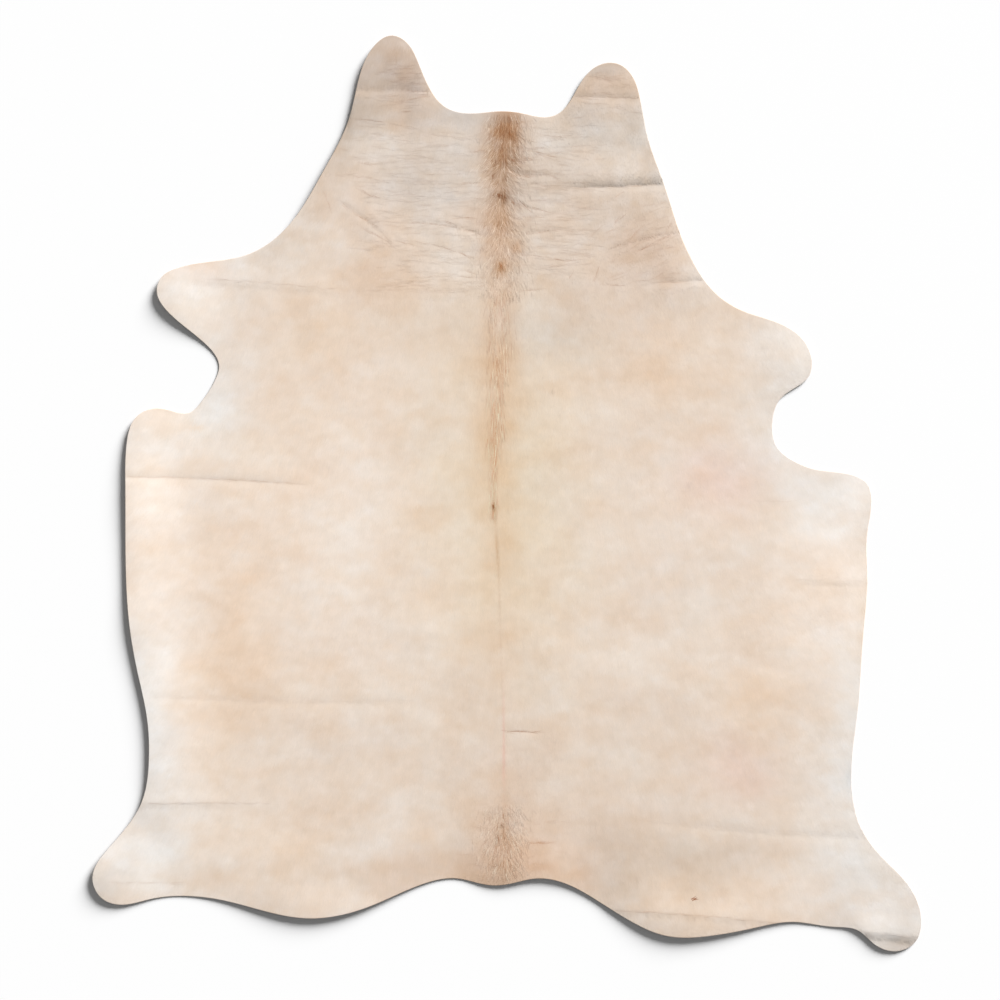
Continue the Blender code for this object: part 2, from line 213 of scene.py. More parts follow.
# Faint wrinkles, scattered over areas: the area's middle and reach, how many, how long and how steep
FAINT_SLANT = 5.0  # how far one strays from its area's slant, in degrees
FAINT_BOW = 1.0
FAINT_DEPTH = (0.5, 1.3)  # the range of its depth, against its area's
FAINT_COLUMNS = "x y reach_x reach_y count shortest longest slant depth".split()
FAINT_AREAS = (
    (-170, 680, 130, 190, 110, 50, 170, 2, 0.21),  # left of the neck
    (-330, 770, 70, 190, 34, 25, 90, -6, 0.20),  # left side of the neck
    (100, 710, 90, 190, 100, 50, 160, -2, 0.26),  # right of the neck
    (320, 630, 80, 120, 40, 25, 90, 20, 0.32),  # right side of the neck
    (-250, 985, 60, 60, 30, 20, 80, 3, 0.36),  # left ear
    (235, 960, 70, 50, 16, 20, 70, -3, 0.34),  # right ear
    (10, -840, 130, 60, 18, 20, 70, 0, 0.30),  # rump
)
# A crease's dark line and a wrinkle's darkening are painted shade in the groove.
LINE_REACH = 2.5  # in widths, how far a dark line is followed
WRINKLE_PAINTED_SHADE = (-5.0, -7.0, -7.5)
WRINKLE_MODELLED = 0.6  # wrinkles as deep as this bend the leather's mesh
WRINKLE_DEPTH = 0.00012  # of a wrinkle whose relative depth is 1
WRINKLE_WIDTH = 0.0026
WRINKLE_ROWS = (-2.2, -1.0, -0.35, 0.35, 1.0, 2.2)  # rows of points along a wrinkle, in widths
WRINKLE_STEP = 0.0055
WRINKLE_FADE = 0.3  # share of its length over which each end runs out
WRINKLE_REACH = 3.0  # in widths, how far its groove is followed
WRINKLE_SPAN = (0.02, 0.98)  # the shares of its length between which its rows of points lie

# The hide never lies dead flat: low swells between the creases
SWELL_HEIGHT = 0.0004
SWELL_CELL = 0.11

# Colours are given in steps of 255, as a screen shows them. The coat's own colour, and what each
# tone adds to it.
COAT = (233.8, 216.6, 200.5)
TONES = {
    "orange": (-1, -9, -17),
    "yellow": (-2, -4, -11),
    "pink": (2, -7, -6),
    "brown": (-11, -18, -22),
    "grey": (-15, -10, -5),
    "pale": (3, 12, 20),
    # light and shade lighten and darken all three channels alike. Along the lifted edges, the ears and the
    # bent hind tip they are painted light and painted shade; elsewhere they only make the coat lighter or
    # darker.
    "light": (10, 10, 10),
    "shade": (-10, -10, -10),
    "tan": (-14, -24, -31),
    "dark": (-36, -37, -35),
}
# Soft patches of a tone: middle and reach in mm, turn in degrees and strength
PATCH_COLUMNS = "tone x y reach_x reach_y turn strength".split()
PATCHES = (
    # Ears and poll. The shade patches at the ears' tips and the right ear's edge, and the grey ones along
    # the left ear's right edge and along the poll's edge, are painted shade near the edge.
    ("brown", -250, 1010, 95, 120, 20, 1.2), ("grey", -280, 1050, 90, 80, 0, 0.8),
    ("brown", 245, 985, 90, 80, 0, 0.55), ("shade", 250, 1032, 80, 32, 0, 2.3),
    ("shade", 314, 950, 30, 80, 12, 1.0), ("shade", -268, 1098, 50, 28, 0, 1.2),
    ("grey", -200, 1000, 38, 85, -20, 0.8), ("grey", -75, 908, 110, 26, 0, 0.9),
    ("grey", 0, 810, 420, 140, 0, 0.45), ("grey", 240, 870, 80, 60, 0, 0.5),
    ("shade", -270, 1020, 100, 110, 0, 1.1),
    # Neck. The shade patches along the neck's right edge and high on its left edge are painted shade near
    # the edge.
    ("shade", 357, 800, 26, 130, 17, 1.2), ("grey", -250, 745, 90, 60, 0, 0.5),
    ("shade", 0, 760, 450, 230, 0, 0.6), ("shade", -385, 850, 80, 150, -25, 1.8),
    ("shade", -395, 900, 50, 90, -20, 1.8), ("light", -610, 550, 120, 60, 20, 0.5),
    ("pale", -600, 530, 140, 70, 20, 0.35), ("brown", -75, 650, 50, 75, 0, 0.45),
    ("brown", -350, 600, 110, 110, 30, 0.5), ("orange", -250, 480, 150, 60, -45, 0.4),
    ("light", -500, 650, 110, 80, -35, 0.9), ("pale", -500, 650, 110, 80, -35, 0.25),
    ("brown", 350, 575, 90, 80, 20, 0.85), ("brown", 230, 580, 150, 110, 0, 0.35),
    ("light", 415, 625, 60, 80, 20, 1.3),
    # Shoulders and forelegs. The strong light patch on the right foreleg is painted light, where its lifted
    # edge faces away from the sun.
    ("light", 400, 400, 80, 60, 0, 0.4), ("shade", 60, 430, 400, 130, 0, 0.5),
    ("brown", -725, 530, 90, 35, 0, 0.8), ("grey", 103, 383, 80, 60, 0, 0.45),
    ("orange", -435, 380, 130, 110, 0, 0.6), ("orange", 370, 300, 140, 110, 0, 0.75),
    ("pale", -770, 470, 140, 110, -20, 0.6), ("shade", -790, 480, 100, 70, -20, 0.5),
    ("pale", 670, 340, 110, 110, 0, 0.6), ("light", 660, 350, 95, 80, 0, 1.15),
    # Chest and armpits
    ("orange", -640, 155, 130, 90, 0, 0.6), ("pink", 510, 40, 110, 70, 0, 0.8),
    ("pale", -680, 230, 80, 110, 0, 1.1), ("pale", -835, 130, 120, 70, 0, 0.65),
    ("light", 850, -20, 60, 90, 0, 0.35), ("pale", 650, 140, 90, 120, 0, 1.1),
    ("light", 680, 150, 70, 90, 0, 0.4), ("pale", 775, 10, 110, 100, 0, 1.0),
    # Back, belly and flanks
    ("yellow", 0, 0, 180, 390, 0, 1.5), ("orange", -650, -410, 90, 210, -8, 0.8),
    ("orange", 600, -490, 70, 130, 0, 0.7), ("pink", 560, -660, 90, 70, 0, 0.7),
    ("brown", -113, -590, 50, 110, 0, 0.4), ("brown", 79, -590, 50, 110, 0, 0.4),
    ("pale", -880, -500, 90, 230, 0, 1.4), ("light", -870, -50, 110, 110, 0, 1.0),
    ("pale", -810, -640, 80, 120, 0, 0.3), ("grey", -800, -560, 60, 70, 0, 0.4),
    ("shade", 865, -320, 30, 90, 0, 0.5), ("light", -670, -170, 90, 240, 0, 0.35),
    ("light", 420, -60, 170, 150, 0, 0.3), ("light", -890, -190, 60, 190, 0, 0.3),
    ("light", -440, -40, 240, 320, 0, 0.7), ("light", 800, -110, 100, 240, 0, 1.0),
    ("light", 840, -250, 50, 330, 0, 0.5), ("light", 710, -270, 110, 230, 0, 0.8),
    ("pale", 820, -680, 80, 140, 0, 0.8), ("orange", 870, -290, 45, 120, 0, 1.0),
    ("shade", 40, -640, 750, 170, 0, 0.5), ("pale", 850, -400, 70, 330, 0, 0.8),
    # Hind part. The shade patches along the lower edge make it darker towards the edge, as painted shade on
    # the lifted edge, and the last one is painted shade on the tip of the right hind leg, bent down past
    # its crease.
    ("orange", -530, -830, 130, 80, 0, 0.6), ("orange", 430, -940, 150, 70, 0, 0.4),
    ("pale", -800, -800, 80, 60, 0, 0.35), ("shade", 210, -800, 120, 45, 0, 0.4),
    ("light", -700, -860, 130, 60, 0, 0.4), ("pale", -880, -870, 170, 100, 30, 0.8),
    ("brown", 160, -885, 110, 100, 0, 0.9), ("brown", -215, -900, 110, 70, 0, 0.6),
    ("shade", 60, -900, 520, 120, 0, 1.1), ("shade", -440, -905, 280, 60, 0, 1.2),
    ("shade", 480, -1050, 330, 80, 0, 1.3), ("shade", 420, -900, 220, 70, 0, 1.6),
    ("shade", -935, -915, 105, 80, 0, 1.2), ("grey", -980, -930, 80, 80, 0, 0.2),
    ("pale", 880, -950, 170, 150, -40, 0.9), ("grey", 920, -1040, 90, 60, 0, 0.6),
    ("shade", 920, -1070, 60, 42, 0, 1.4),
)
# Small marks of a tone, which keep to their place where patches wander a little
MARKS = (
    # Spine
    ("tan", 8, 886, 24, 24, 0, 0.5), ("dark", 1, 870, 9, 7, 0, 0.5), ("dark", 19, 803, 14, 7, -20, 0.5),
    ("dark", -5, 796, 10, 8, 0, 0.4), ("dark", -28, 800, 4, 20, 0, 0.5),
    ("dark", 40, 772, 26, 6, -15, 0.5), ("dark", -32, 764, 7, 8, 0, 0.5),
    ("dark", -11, 716, 24, 11, -8, 0.7), ("dark", 22, 700, 16, 6, -30, 0.5),
    ("tan", 23, 593, 10, 14, 0, 0.9), ("tan", -56, 583, 16, 14, 0, 0.5),
    ("tan", -14, 549, 13, 16, 0, 1.1), ("dark", -32, -29, 6, 5, 0, 0.9),
    # Rump
    ("light", 0, -758, 5, 26, 0, 0.7), ("dark", 2, -765, 3, 8, 0, 0.5), ("dark", -14, -793, 5, 6, 0, 0.6),
    ("dark", -24, -826, 5, 14, 0, 0.7), ("dark", 4, -808, 5, 6, 0, 0.5), ("tan", 74, -835, 32, 6, 0, 0.5),
    ("tan", 84, -893, 32, 12, 0, 0.5), ("dark", -31, -889, 9, 6, 0, 0.5),
    ("dark", -48, -832, 6, 5, 0, 0.4),
    # Elsewhere
    ("dark", 109, 248, 5, 4, 0, 0.5), ("dark", 434, 23, 9, 6, 0, 0.35), ("dark", 118, -594, 8, 3, 0, 0.4),
    ("orange", -744, 162, 20, 6, 0, 1.0), ("grey", 821, -679, 12, 32, 0, 0.7),
    ("pink", -8, -560, 3, 90, 0, 1.0), ("pink", -8, -640, 4, 50, 0, 1.0),
)
PATCH_WARP = 0.030  # how far the patches' edges wander
PATCH_WARP_CELL = 0.10

# The spine, from neck to tail: where it lies, its dark middle and the tan band beside it. Places and
# half widths in mm, with strengths as shares of the two colours below.
SPINE_COLUMNS = "y x middle half_middle band half_band sweep".split()
SPINE = (
    (930, 2, 0.45, 34, 0.70, 52, 0.10),
    (894, -2, 0.60, 42, 1.05, 58, 0.20),
    (863, -5, 0.85, 40, 0.95, 60, 0.60),
    (834, -3, 0.70, 36, 0.95, 64, 0.80),
    (803, -8, 0.72, 34, 0.90, 58, 1.10),
    (774, -12, 0.38, 38, 0.85, 58, 1.20),
    (743, -15, 0.30, 24, 0.95, 52, 1.10),
    (714, -12, 0.71, 21, 0.55, 54, 1.00),
    (683, -16, 0.20, 24, 0.75, 50, 0.80),
    (654, -14, 0.38, 24, 0.75, 50, 0.60),
    (623, -14, 0.04, 22, 0.90, 52, 0.50),
    (594, -12, 0.08, 22, 0.90, 54, 0.40),
    (566, -15, 0.00, 18, 1.00, 54, 0.22),
    (544, -17, 0.31, 13, 0.58, 46, 0.20),
    (508, -14, -0.12, 14, 0.85, 44, 0.15),
    (467, -17, 0.00, 12, 1.00, 40, 0.12),
    (407, -19, -0.24, 12, 0.90, 44, 0.08),
    (347, -21, 0.00, 10, 0.80, 56, 0.06),
    (287, -20, 0.08, 14, 0.65, 56, 0.05),
    (227, -25, 0.07, 9, 0.75, 54, 0.05),
    (107, -30, 0.12, 7, 0.72, 54, 0.05),
    (20, -32, 0.14, 6, 0.45, 56, 0.05),
    (-28, -32, 0.33, 5, 0.52, 56, 0.05),
    (-75, -27, 0.17, 4, 0.60, 50, 0.05),
    (-121, -24, 0.32, 3.5, 0.62, 48, 0.05),
    (-193, -20, 0.20, 2.5, 0.30, 46, 0.05),
    (-361, -15, 0.12, 2.2, 0.26, 44, 0.05),
    (-493, -11, 0.06, 2.2, 0.18, 44, 0.05),
    (-613, -7, 0.06, 2.5, 0.42, 50, 0.10),
    (-697, -4, 0.04, 8, 0.45, 62, 0.15),
    (-733, -3, 0.10, 10, 0.60, 76, 0.22),
    (-793, -7, 0.22, 14, 0.76, 86, 0.35),
    (-817, -9, 0.32, 14, 0.78, 90, 0.40),
    (-853, -9, 0.02, 14, 0.95, 100, 0.40),
    (-877, -9, 0.10, 16, 1.05, 104, 0.35),
    (-907, -9, 0.06, 18, 0.95, 108, 0.30),
    (-945, -9, 0.06, 18, 0.75, 108, 0.25),
)
SPINE_MIDDLE = (-46, -64, -77)
SPINE_BAND = (-8, -20, -28)
BAND_POWER = 2.4  # how squarely the band ends
SPINE_BREAK = 0.45  # how much streaks break up the dark middle
SPINE_STREAKS = (1.6, 0.7)  # as many as in the coat, along the hair and across it

# Mottling and streaks along the hair, in steps of 255
MOTTLE_COLUMNS = "cell red green blue".split()
MOTTLE = (
    (0.120, 1.3, 3.3, 4.8),
    (0.060, 1.5, 3.8, 5.9),
    (0.028, 2.1, 4.0, 5.8),
    (0.013, 2.6, 3.3, 4.4),
    (0.006, 1.5, 1.6, 2.0),
)
MOTTLE_TINT = (0.8, 0.2, -0.5)
MOTTLE_STRETCH = 0.8
MOTTLE_TURN = 1.1  # between the levels
MOTTLE_APART = 17.0
NECK_MOTTLE = 0.3  # how much stronger it is on the neck
NECK_Y = (420, 620)
STREAK_ACROSS = 0.0035
STREAK_ALONG = 0.045
STREAK_LIGHT = 1.2

# The way the hair lies: towards the tail, and outwards by this slope for each metre from the spine
FLOW_SPREAD = 0.62
FLOW_WANDER = 0.13
FLOW_WANDER_CELL = 0.06
SWEEP_REACH = 0.065  # how far beside the spine the hair sweeps outwards
SWEEP_START = 0.3  # of that reach, over which the sweep begins

# The short coat, in locks. Heights are over the leather: the root's, the range of the tip's, the least one
# of the ridge, and how far the sides lie under the ridge.
LOCK_GAP = 0.00445  # between neighbouring roots
LOCK_LENGTH = (0.013, 0.021)
LOCK_WIDTH = (0.0019, 0.0028)
LOCK_SCATTER = 0.55  # of the gap, how far a root strays each way
LOCK_JITTER = 0.11
LOCK_SHORTEST = 0.004
LOCK_ROOT = -0.00005
LOCK_TIP = (0.00002, 0.00006)
LOCK_OVER = 0.00003
LOCK_RIDGE = 0.00005
LOCK_WIDEST = 0.36  # of its length, where a lock is widest
LOCK_SIDE_LEAN = 0.013  # how far its sides seem to face outwards
LOCK_TINT = 0.6
LINE_PARTS = 4  # creases whose line is as dark as this part the locks that cross them
LINE_RISE = 3.0  # how much sooner than its height a crease's parting starts
WRINKLE_PARTS = 0.5  # the share of the locks parted by a wrinkle whose relative depth is 1
NARROWEST = 0.0003  # of the locks beside the cut edge
EDGE_HALVINGS = 7  # steps in the search for where a lock meets that edge
# A lock's corners are its root 0, left 1, right 2 and tip 3. Two of its triangles lie above, two below.
LOCK_UPPER = (0, 3, 1, 3, 0, 2)
LOCK_LOWER = (0, 1, 2, 3, 2, 1)
# Its corners in its cell of the UV square, for each side
UPPER_UV = ((0.40, 0.04), (0.04, 0.36), (0.76, 0.36), (0.40, 0.96))
LOWER_UV = ((0.88, 0.04), (0.80, 0.36), (0.96, 0.36), (0.88, 0.96))

# The longer hair down the spine, in tufts
# For each stretch of it, in mm: how far the tufts reach to each side, how many there are, their lengths in
# metres, how much they stray in radians, their width and lift, how much lighter they are, how far that
# varies, and the share of it in red
TUFT_COLUMNS = "y0 y1 half_width count shortest longest jitter wide lift shade tint red".split()
TUFTS = (
    (480, 912, 50, 3200, 0.014, 0.028, 0.26, 1.0, 0.9, 0, 17, 0.82),  # neck
    (280, 490, 26, 620, 0.022, 0.046, 0.06, 0.8, 0.5, -5, 21, 0.60),  # withers
    (100, 300, 18, 430, 0.022, 0.046, 0.06, 0.8, 0.5, -6, 22, 0.40),  # upper back
    (-45, 110, 10, 260, 0.018, 0.036, 0.06, 0.8, 0.5, -6, 24, 0.35),  # middle of the back
    (-925, -745, 48, 1150, 0.014, 0.026, 0.20, 0.9, 0.8, 0, 17, 0.70),  # rump
)
# Single dark tufts: where they start, the way they lie in degrees from +X, their length in mm, how many
# lie together and how much darker they are
STRAY_COLUMNS = "x y heading length count tint".split()
STRAYS = (
    (443, -972, 20, 17, 9, 105),  # right buttock
    (-35, -24, -75, 12, 7, 70),  # middle of the spine
    (6, 806, -25, 22, 8, 45),  # whorl
    (-34, 768, -80, 14, 6, 45),  # below the whorl
    (-26, 722, -30, 22, 9, 45),  # dark patch
    (8, 706, -40, 20, 7, 40),  # dark patch
    (-14, 556, -88, 18, 7, 30),  # knot
    (-22, -818, -85, 18, 5, 40),  # rump
    (-12, -786, -80, 14, 5, 35),  # rump
)
STRAY_SPREAD = 0.0012
STRAY_JITTER = 0.10
STRAY_LENGTHS = (0.7, 1.0)  # against the table's
STRAY_TINTS = (0.7, 1.1)
# The strands along the wrinkles and creases are darker hair that paints shade along their grooves.
STRAND_APART = 0.0075  # strands along the wrinkles: one for each of these lengths
STRAND_SPREAD = 0.0012
STRAND_STARTS = (0.0, 0.9)  # the shares of a wrinkle's length between which strands start
STRAND_AHEAD = 0.05  # share of that length over which a strand's heading is taken
STRAND_JITTER = 0.05
STRAND_LENGTH = (0.014, 0.032)
STRAND_WIDTH = 0.7  # of a tuft's width
STRAND_LIFT = 0.35
STRAND_TINT = 30.0  # how much darker a strand is on a wrinkle whose relative depth is 1
STRAND_TINT_COLOUR = (0.66, 1.0, 1.12)
STRAND_TINTS = (0.5, 1.3)  # the range of the strands, against that
STRAND_ENDS = 0.3  # how dark they are at a wrinkle's ends, against its middle
TUFT_SPREAD = 0.5  # of the table's half width
TUFT_TAN = 50.0  # tufts this much less blue than the coat vary fully
TUFT_LEAST_TAN = 0.1
TUFT_TINT_COLOUR = (1.0, 1.05)  # in green and blue, beside the red of the table
TUFT_STATIONS = 3
TUFT_RISE = (-0.3, 0.8, 1.0, 0.8)  # of its height, at each station and the tip
TUFT_BEND = 0.22  # spread of its bend from root to tip, in radians
TUFT_WIDTH = 0.0014
TUFT_WIDTHS = (0.7, 1.2)  # the range of the tufts, against that
TUFT_TAPER = 1.02  # a tuft narrows as the square root of this less the share of its length
TUFT_HEIGHT = 0.00032
TUFT_HEIGHTS = (0.6, 1.2)
TUFT_RIDGE = 0.16  # in widths
TUFT_SIDE_LEAN = 0.14
# A tuft's corners in its cell of the UV square: its foot, then where the rest starts and how far it runs
FOOT_UV = ((0.1, 0.01), (0.7, 0.01), (0.4, 0.03))
TUFT_UV_START = (0.1, 0.05)
TUFT_UV_RUN = (0.3, 0.9)

# Strands in the hair's materials: how fine over the locks' UV square, and in metres
STRANDS_ON_LOCKS = (1500.0, 250.0, 1.0)
STRANDS_IN_PLACE = (2200.0, 110.0, 400.0)
STRAND_CONTRAST = 0.05
STRAND_NOISE = (0.3, 0.7)  # the noise between which a strand goes from dark to light
HAIR_ROUGHNESS = 0.58
HAIR_SPECULAR = 0.25
PLAIN_SPECULAR = 0.35
# Colour in linear light and roughness
# The cut edge is a darker brown than the suede, as painted shade for the edge, which lies in shadow.
SHADED_CUT_EDGE = ((0.20, 0.16, 0.125), 0.8)
SUEDE = ((0.60, 0.53, 0.46), 0.95)
PALE_FLOOR = ((0.97, 0.97, 0.97), 0.9)

# Floor, light and camera. Angles are in degrees, the sun's way from +X towards +Y.
FLOOR_HALF = 6.0
FLOOR_LEVEL = -0.0005
ALL_ROUND_LIGHT = 0.18
SUN_STRENGTH = 7.05
SUN_WIDTH = 28.0
SUN_ELEVATION = 22.0
SUN_WAY = 50.0
LENS = 85.0
SENSOR_WIDTH = 36.0
CAMERA_PLACE = (-0.0168, -0.0155, 5.667)

# Seeds of all that is random
LOCK_SEED = 5
TUFT_SEED = 6
SWELL_SEED = 11
WOBBLE_SEED = 12
FAINT_SEED = 13
WARP_SEEDS = (21, 22)  # along x and y
COAT_SEEDS = (23, 24, 25, 26)  # of its light, its hue, its streaks and the way it lies


def rows(columns, table):
    """Each row of a table as a dictionary by column name."""
    return [dict(zip(columns, row)) for row in table]


def smooth_step(share):
    """0 to 1 with level ends."""
    share = np.clip(share, 0.0, 1.0)
    return share * share * (3.0 - 2.0 * share)


def wrinkle_fade(share):
    """How far a wrinkle has sunk at a share of its length: 0 at its ends, 1 between them."""
    return smooth_step(share / WRINKLE_FADE) * smooth_step((1.0 - share) / WRINKLE_FADE)


def turned(x, y, angle):
    """Places turned about the middle."""
    cos, sin = math.cos(angle), math.sin(angle)
    return x * cos - y * sin, x * sin + y * cos


def way_of(angle):
    """A step of length 1 at each angle."""
    return np.column_stack([np.cos(angle), np.sin(angle)])


def mixed(values, i, j, next_i, next_j, a, b):
    """The values at a cell's four corners, mixed by how far each place lies along its sides."""
    lower = values[i, j] * (1 - a) + values[next_i, j] * a
    upper = values[i, next_j] * (1 - a) + values[next_i, next_j] * a
    return lower * (1 - b) + upper * b


def round_spline(points, step):
    """A closed smooth curve through the points, with bends shared out as in a bent lath."""
    count = len(points)
    after = np.roll(points, -1, axis=0)
    chord = np.linalg.norm(after - points, axis=1)
    before = np.roll(chord, 1)
    matrix = np.zeros((count, count))
    index = np.arange(count)
    matrix[index, index] = 2.0 * (chord + before)
    matrix[index, (index + 1) % count] = before
    matrix[index, (index - 1) % count] = chord
    slope_after = (after - points) / chord[:, None]
    slope_before = np.roll(slope_after, 1, axis=0)
    right = 3.0 * (before[:, None] * slope_after + chord[:, None] * slope_before)
    slope = np.linalg.solve(matrix, right)
    curve = []
    for i in range(count):
        j = (i + 1) % count
        for t in np.arange(0.0, 1.0, step / chord[i]):
            curve.append(
                (2 * t**3 - 3 * t**2 + 1) * points[i]
                + (t**3 - 2 * t**2 + t) * chord[i] * slope[i]
                + (3 * t**2 - 2 * t**3) * points[j]
                + (t**3 - t**2) * chord[i] * slope[j]
            )
    return np.array(curve)


def even_steps(curve, step):
    """A closed curve cut again into equal steps of about this length."""
    closed = np.vstack([curve, curve[:1]])
    along = np.concatenate([[0.0], np.cumsum(np.linalg.norm(np.diff(closed, axis=0), axis=1))])
    count = round(along[-1] / step)
    at = np.arange(count) * along[-1] / count
    return np.column_stack([np.interp(at, along, closed[:, axis]) for axis in (0, 1)])


def inward(loop):
    """The way in at each point of a closed loop that runs clockwise seen from above."""
    run = np.roll(loop, -1, axis=0) - np.roll(loop, 1, axis=0)
    run /= np.linalg.norm(run, axis=1)[:, None]
    return np.column_stack([run[:, 1], -run[:, 0]])


def within(loop, points):
    """Whether each point lies inside a closed loop."""
    order = np.argsort(points[:, 1], kind="stable")
    x, y = points[order].T
    odd = np.zeros(len(points), bool)
    for (ax, ay), (bx, by) in zip(loop, np.roll(loop, -1, axis=0)):
        first, last = np.searchsorted(y, (min(ay, by), max(ay, by)))
        if first < last:
            reach = slice(first, last)
            odd[reach] ^= x[reach] < ax + (y[reach] - ay) * (bx - ax) / (by - ay)
    found = np.zeros(len(points), bool)
    found[order] = odd
    return found


def box_finder(points):
    """A function that finds which of the points lie in an upright box."""
    order = np.argsort(points[:, 1], kind="stable")
    level = points[order, 1]

    def find(low, high):
        first, last = np.searchsorted(level, (low[1], high[1]))
        some = order[first:last]
        x = points[some, 0]
        return some[(x > low[0]) & (x < high[0])]

    return find


def trough_profile(far):
    """How high a trough's side stands, by the distance from its line in widths: 0 there, 1 at one width."""
    foot = TROUGH_REACH * math.exp(1.0 - TROUGH_REACH)
    profile = np.where(far < TROUGH_REACH, far * np.exp(1.0 - far), 0.0)
    return np.maximum(profile - foot, 0.0) / (1.0 - foot)


class SoftNoise:
    """Smooth random values between -1 and 1 over the plane, the same in each run."""

    SIZE = 128
    TURN = 0.62
    APART = 31.7

    def __init__(self, seed):
        self.values = np.random.default_rng(seed).uniform(-1.0, 1.0, (self.SIZE, self.SIZE))

    def __call__(self, u, v):
        left, low = np.floor(u).astype(int), np.floor(v).astype(int)
        a, b = smooth_step(u - left), smooth_step(v - low)
        i, j = left % self.SIZE, low % self.SIZE
        return mixed(self.values, i, j, (i + 1) % self.SIZE, (j + 1) % self.SIZE, a, b)

    def clouds(self, u, v):
        """Two such fields together, one turned so that no square pattern shows, as strong as one."""
        other_u, other_v = turned(u, v, self.TURN)
        return (self(u, v) + self(other_u + self.APART, other_v - self.APART)) * math.sqrt(0.5)


def faint_wrinkles():
    """Short faint wrinkles scattered over the areas of their table."""
    rng = np.random.default_rng(FAINT_SEED)
    found = []
    for area in rows(FAINT_COLUMNS, FAINT_AREAS):
        for _ in range(area["count"]):
            x = area["x"] + rng.uniform(-1.0, 1.0) * area["reach_x"]
            y = area["y"] + rng.uniform(-1.0, 1.0) * area["reach_y"]
            half = rng.uniform(area["shortest"], area["longest"]) / 2
            angle = math.radians(area["slant"] + rng.normal(0.0, FAINT_SLANT))
            run_x, run_y = half * math.cos(angle), half * math.sin(angle)
            depth = area["depth"] * rng.uniform(*FAINT_DEPTH)
            row = (x - run_x, y - run_y, x + run_x, y + run_y, rng.normal(0.0, FAINT_BOW), depth)
            found.append(dict(zip(WRINKLE_COLUMNS, row)))
    return found


def ring_shifts():
    """Steps to places evenly round a ring, as far out as the lifted edges are softened."""
    return EDGE_SOFT * way_of(np.arange(RING_PLACES) * 2.0 * math.pi / RING_PLACES)


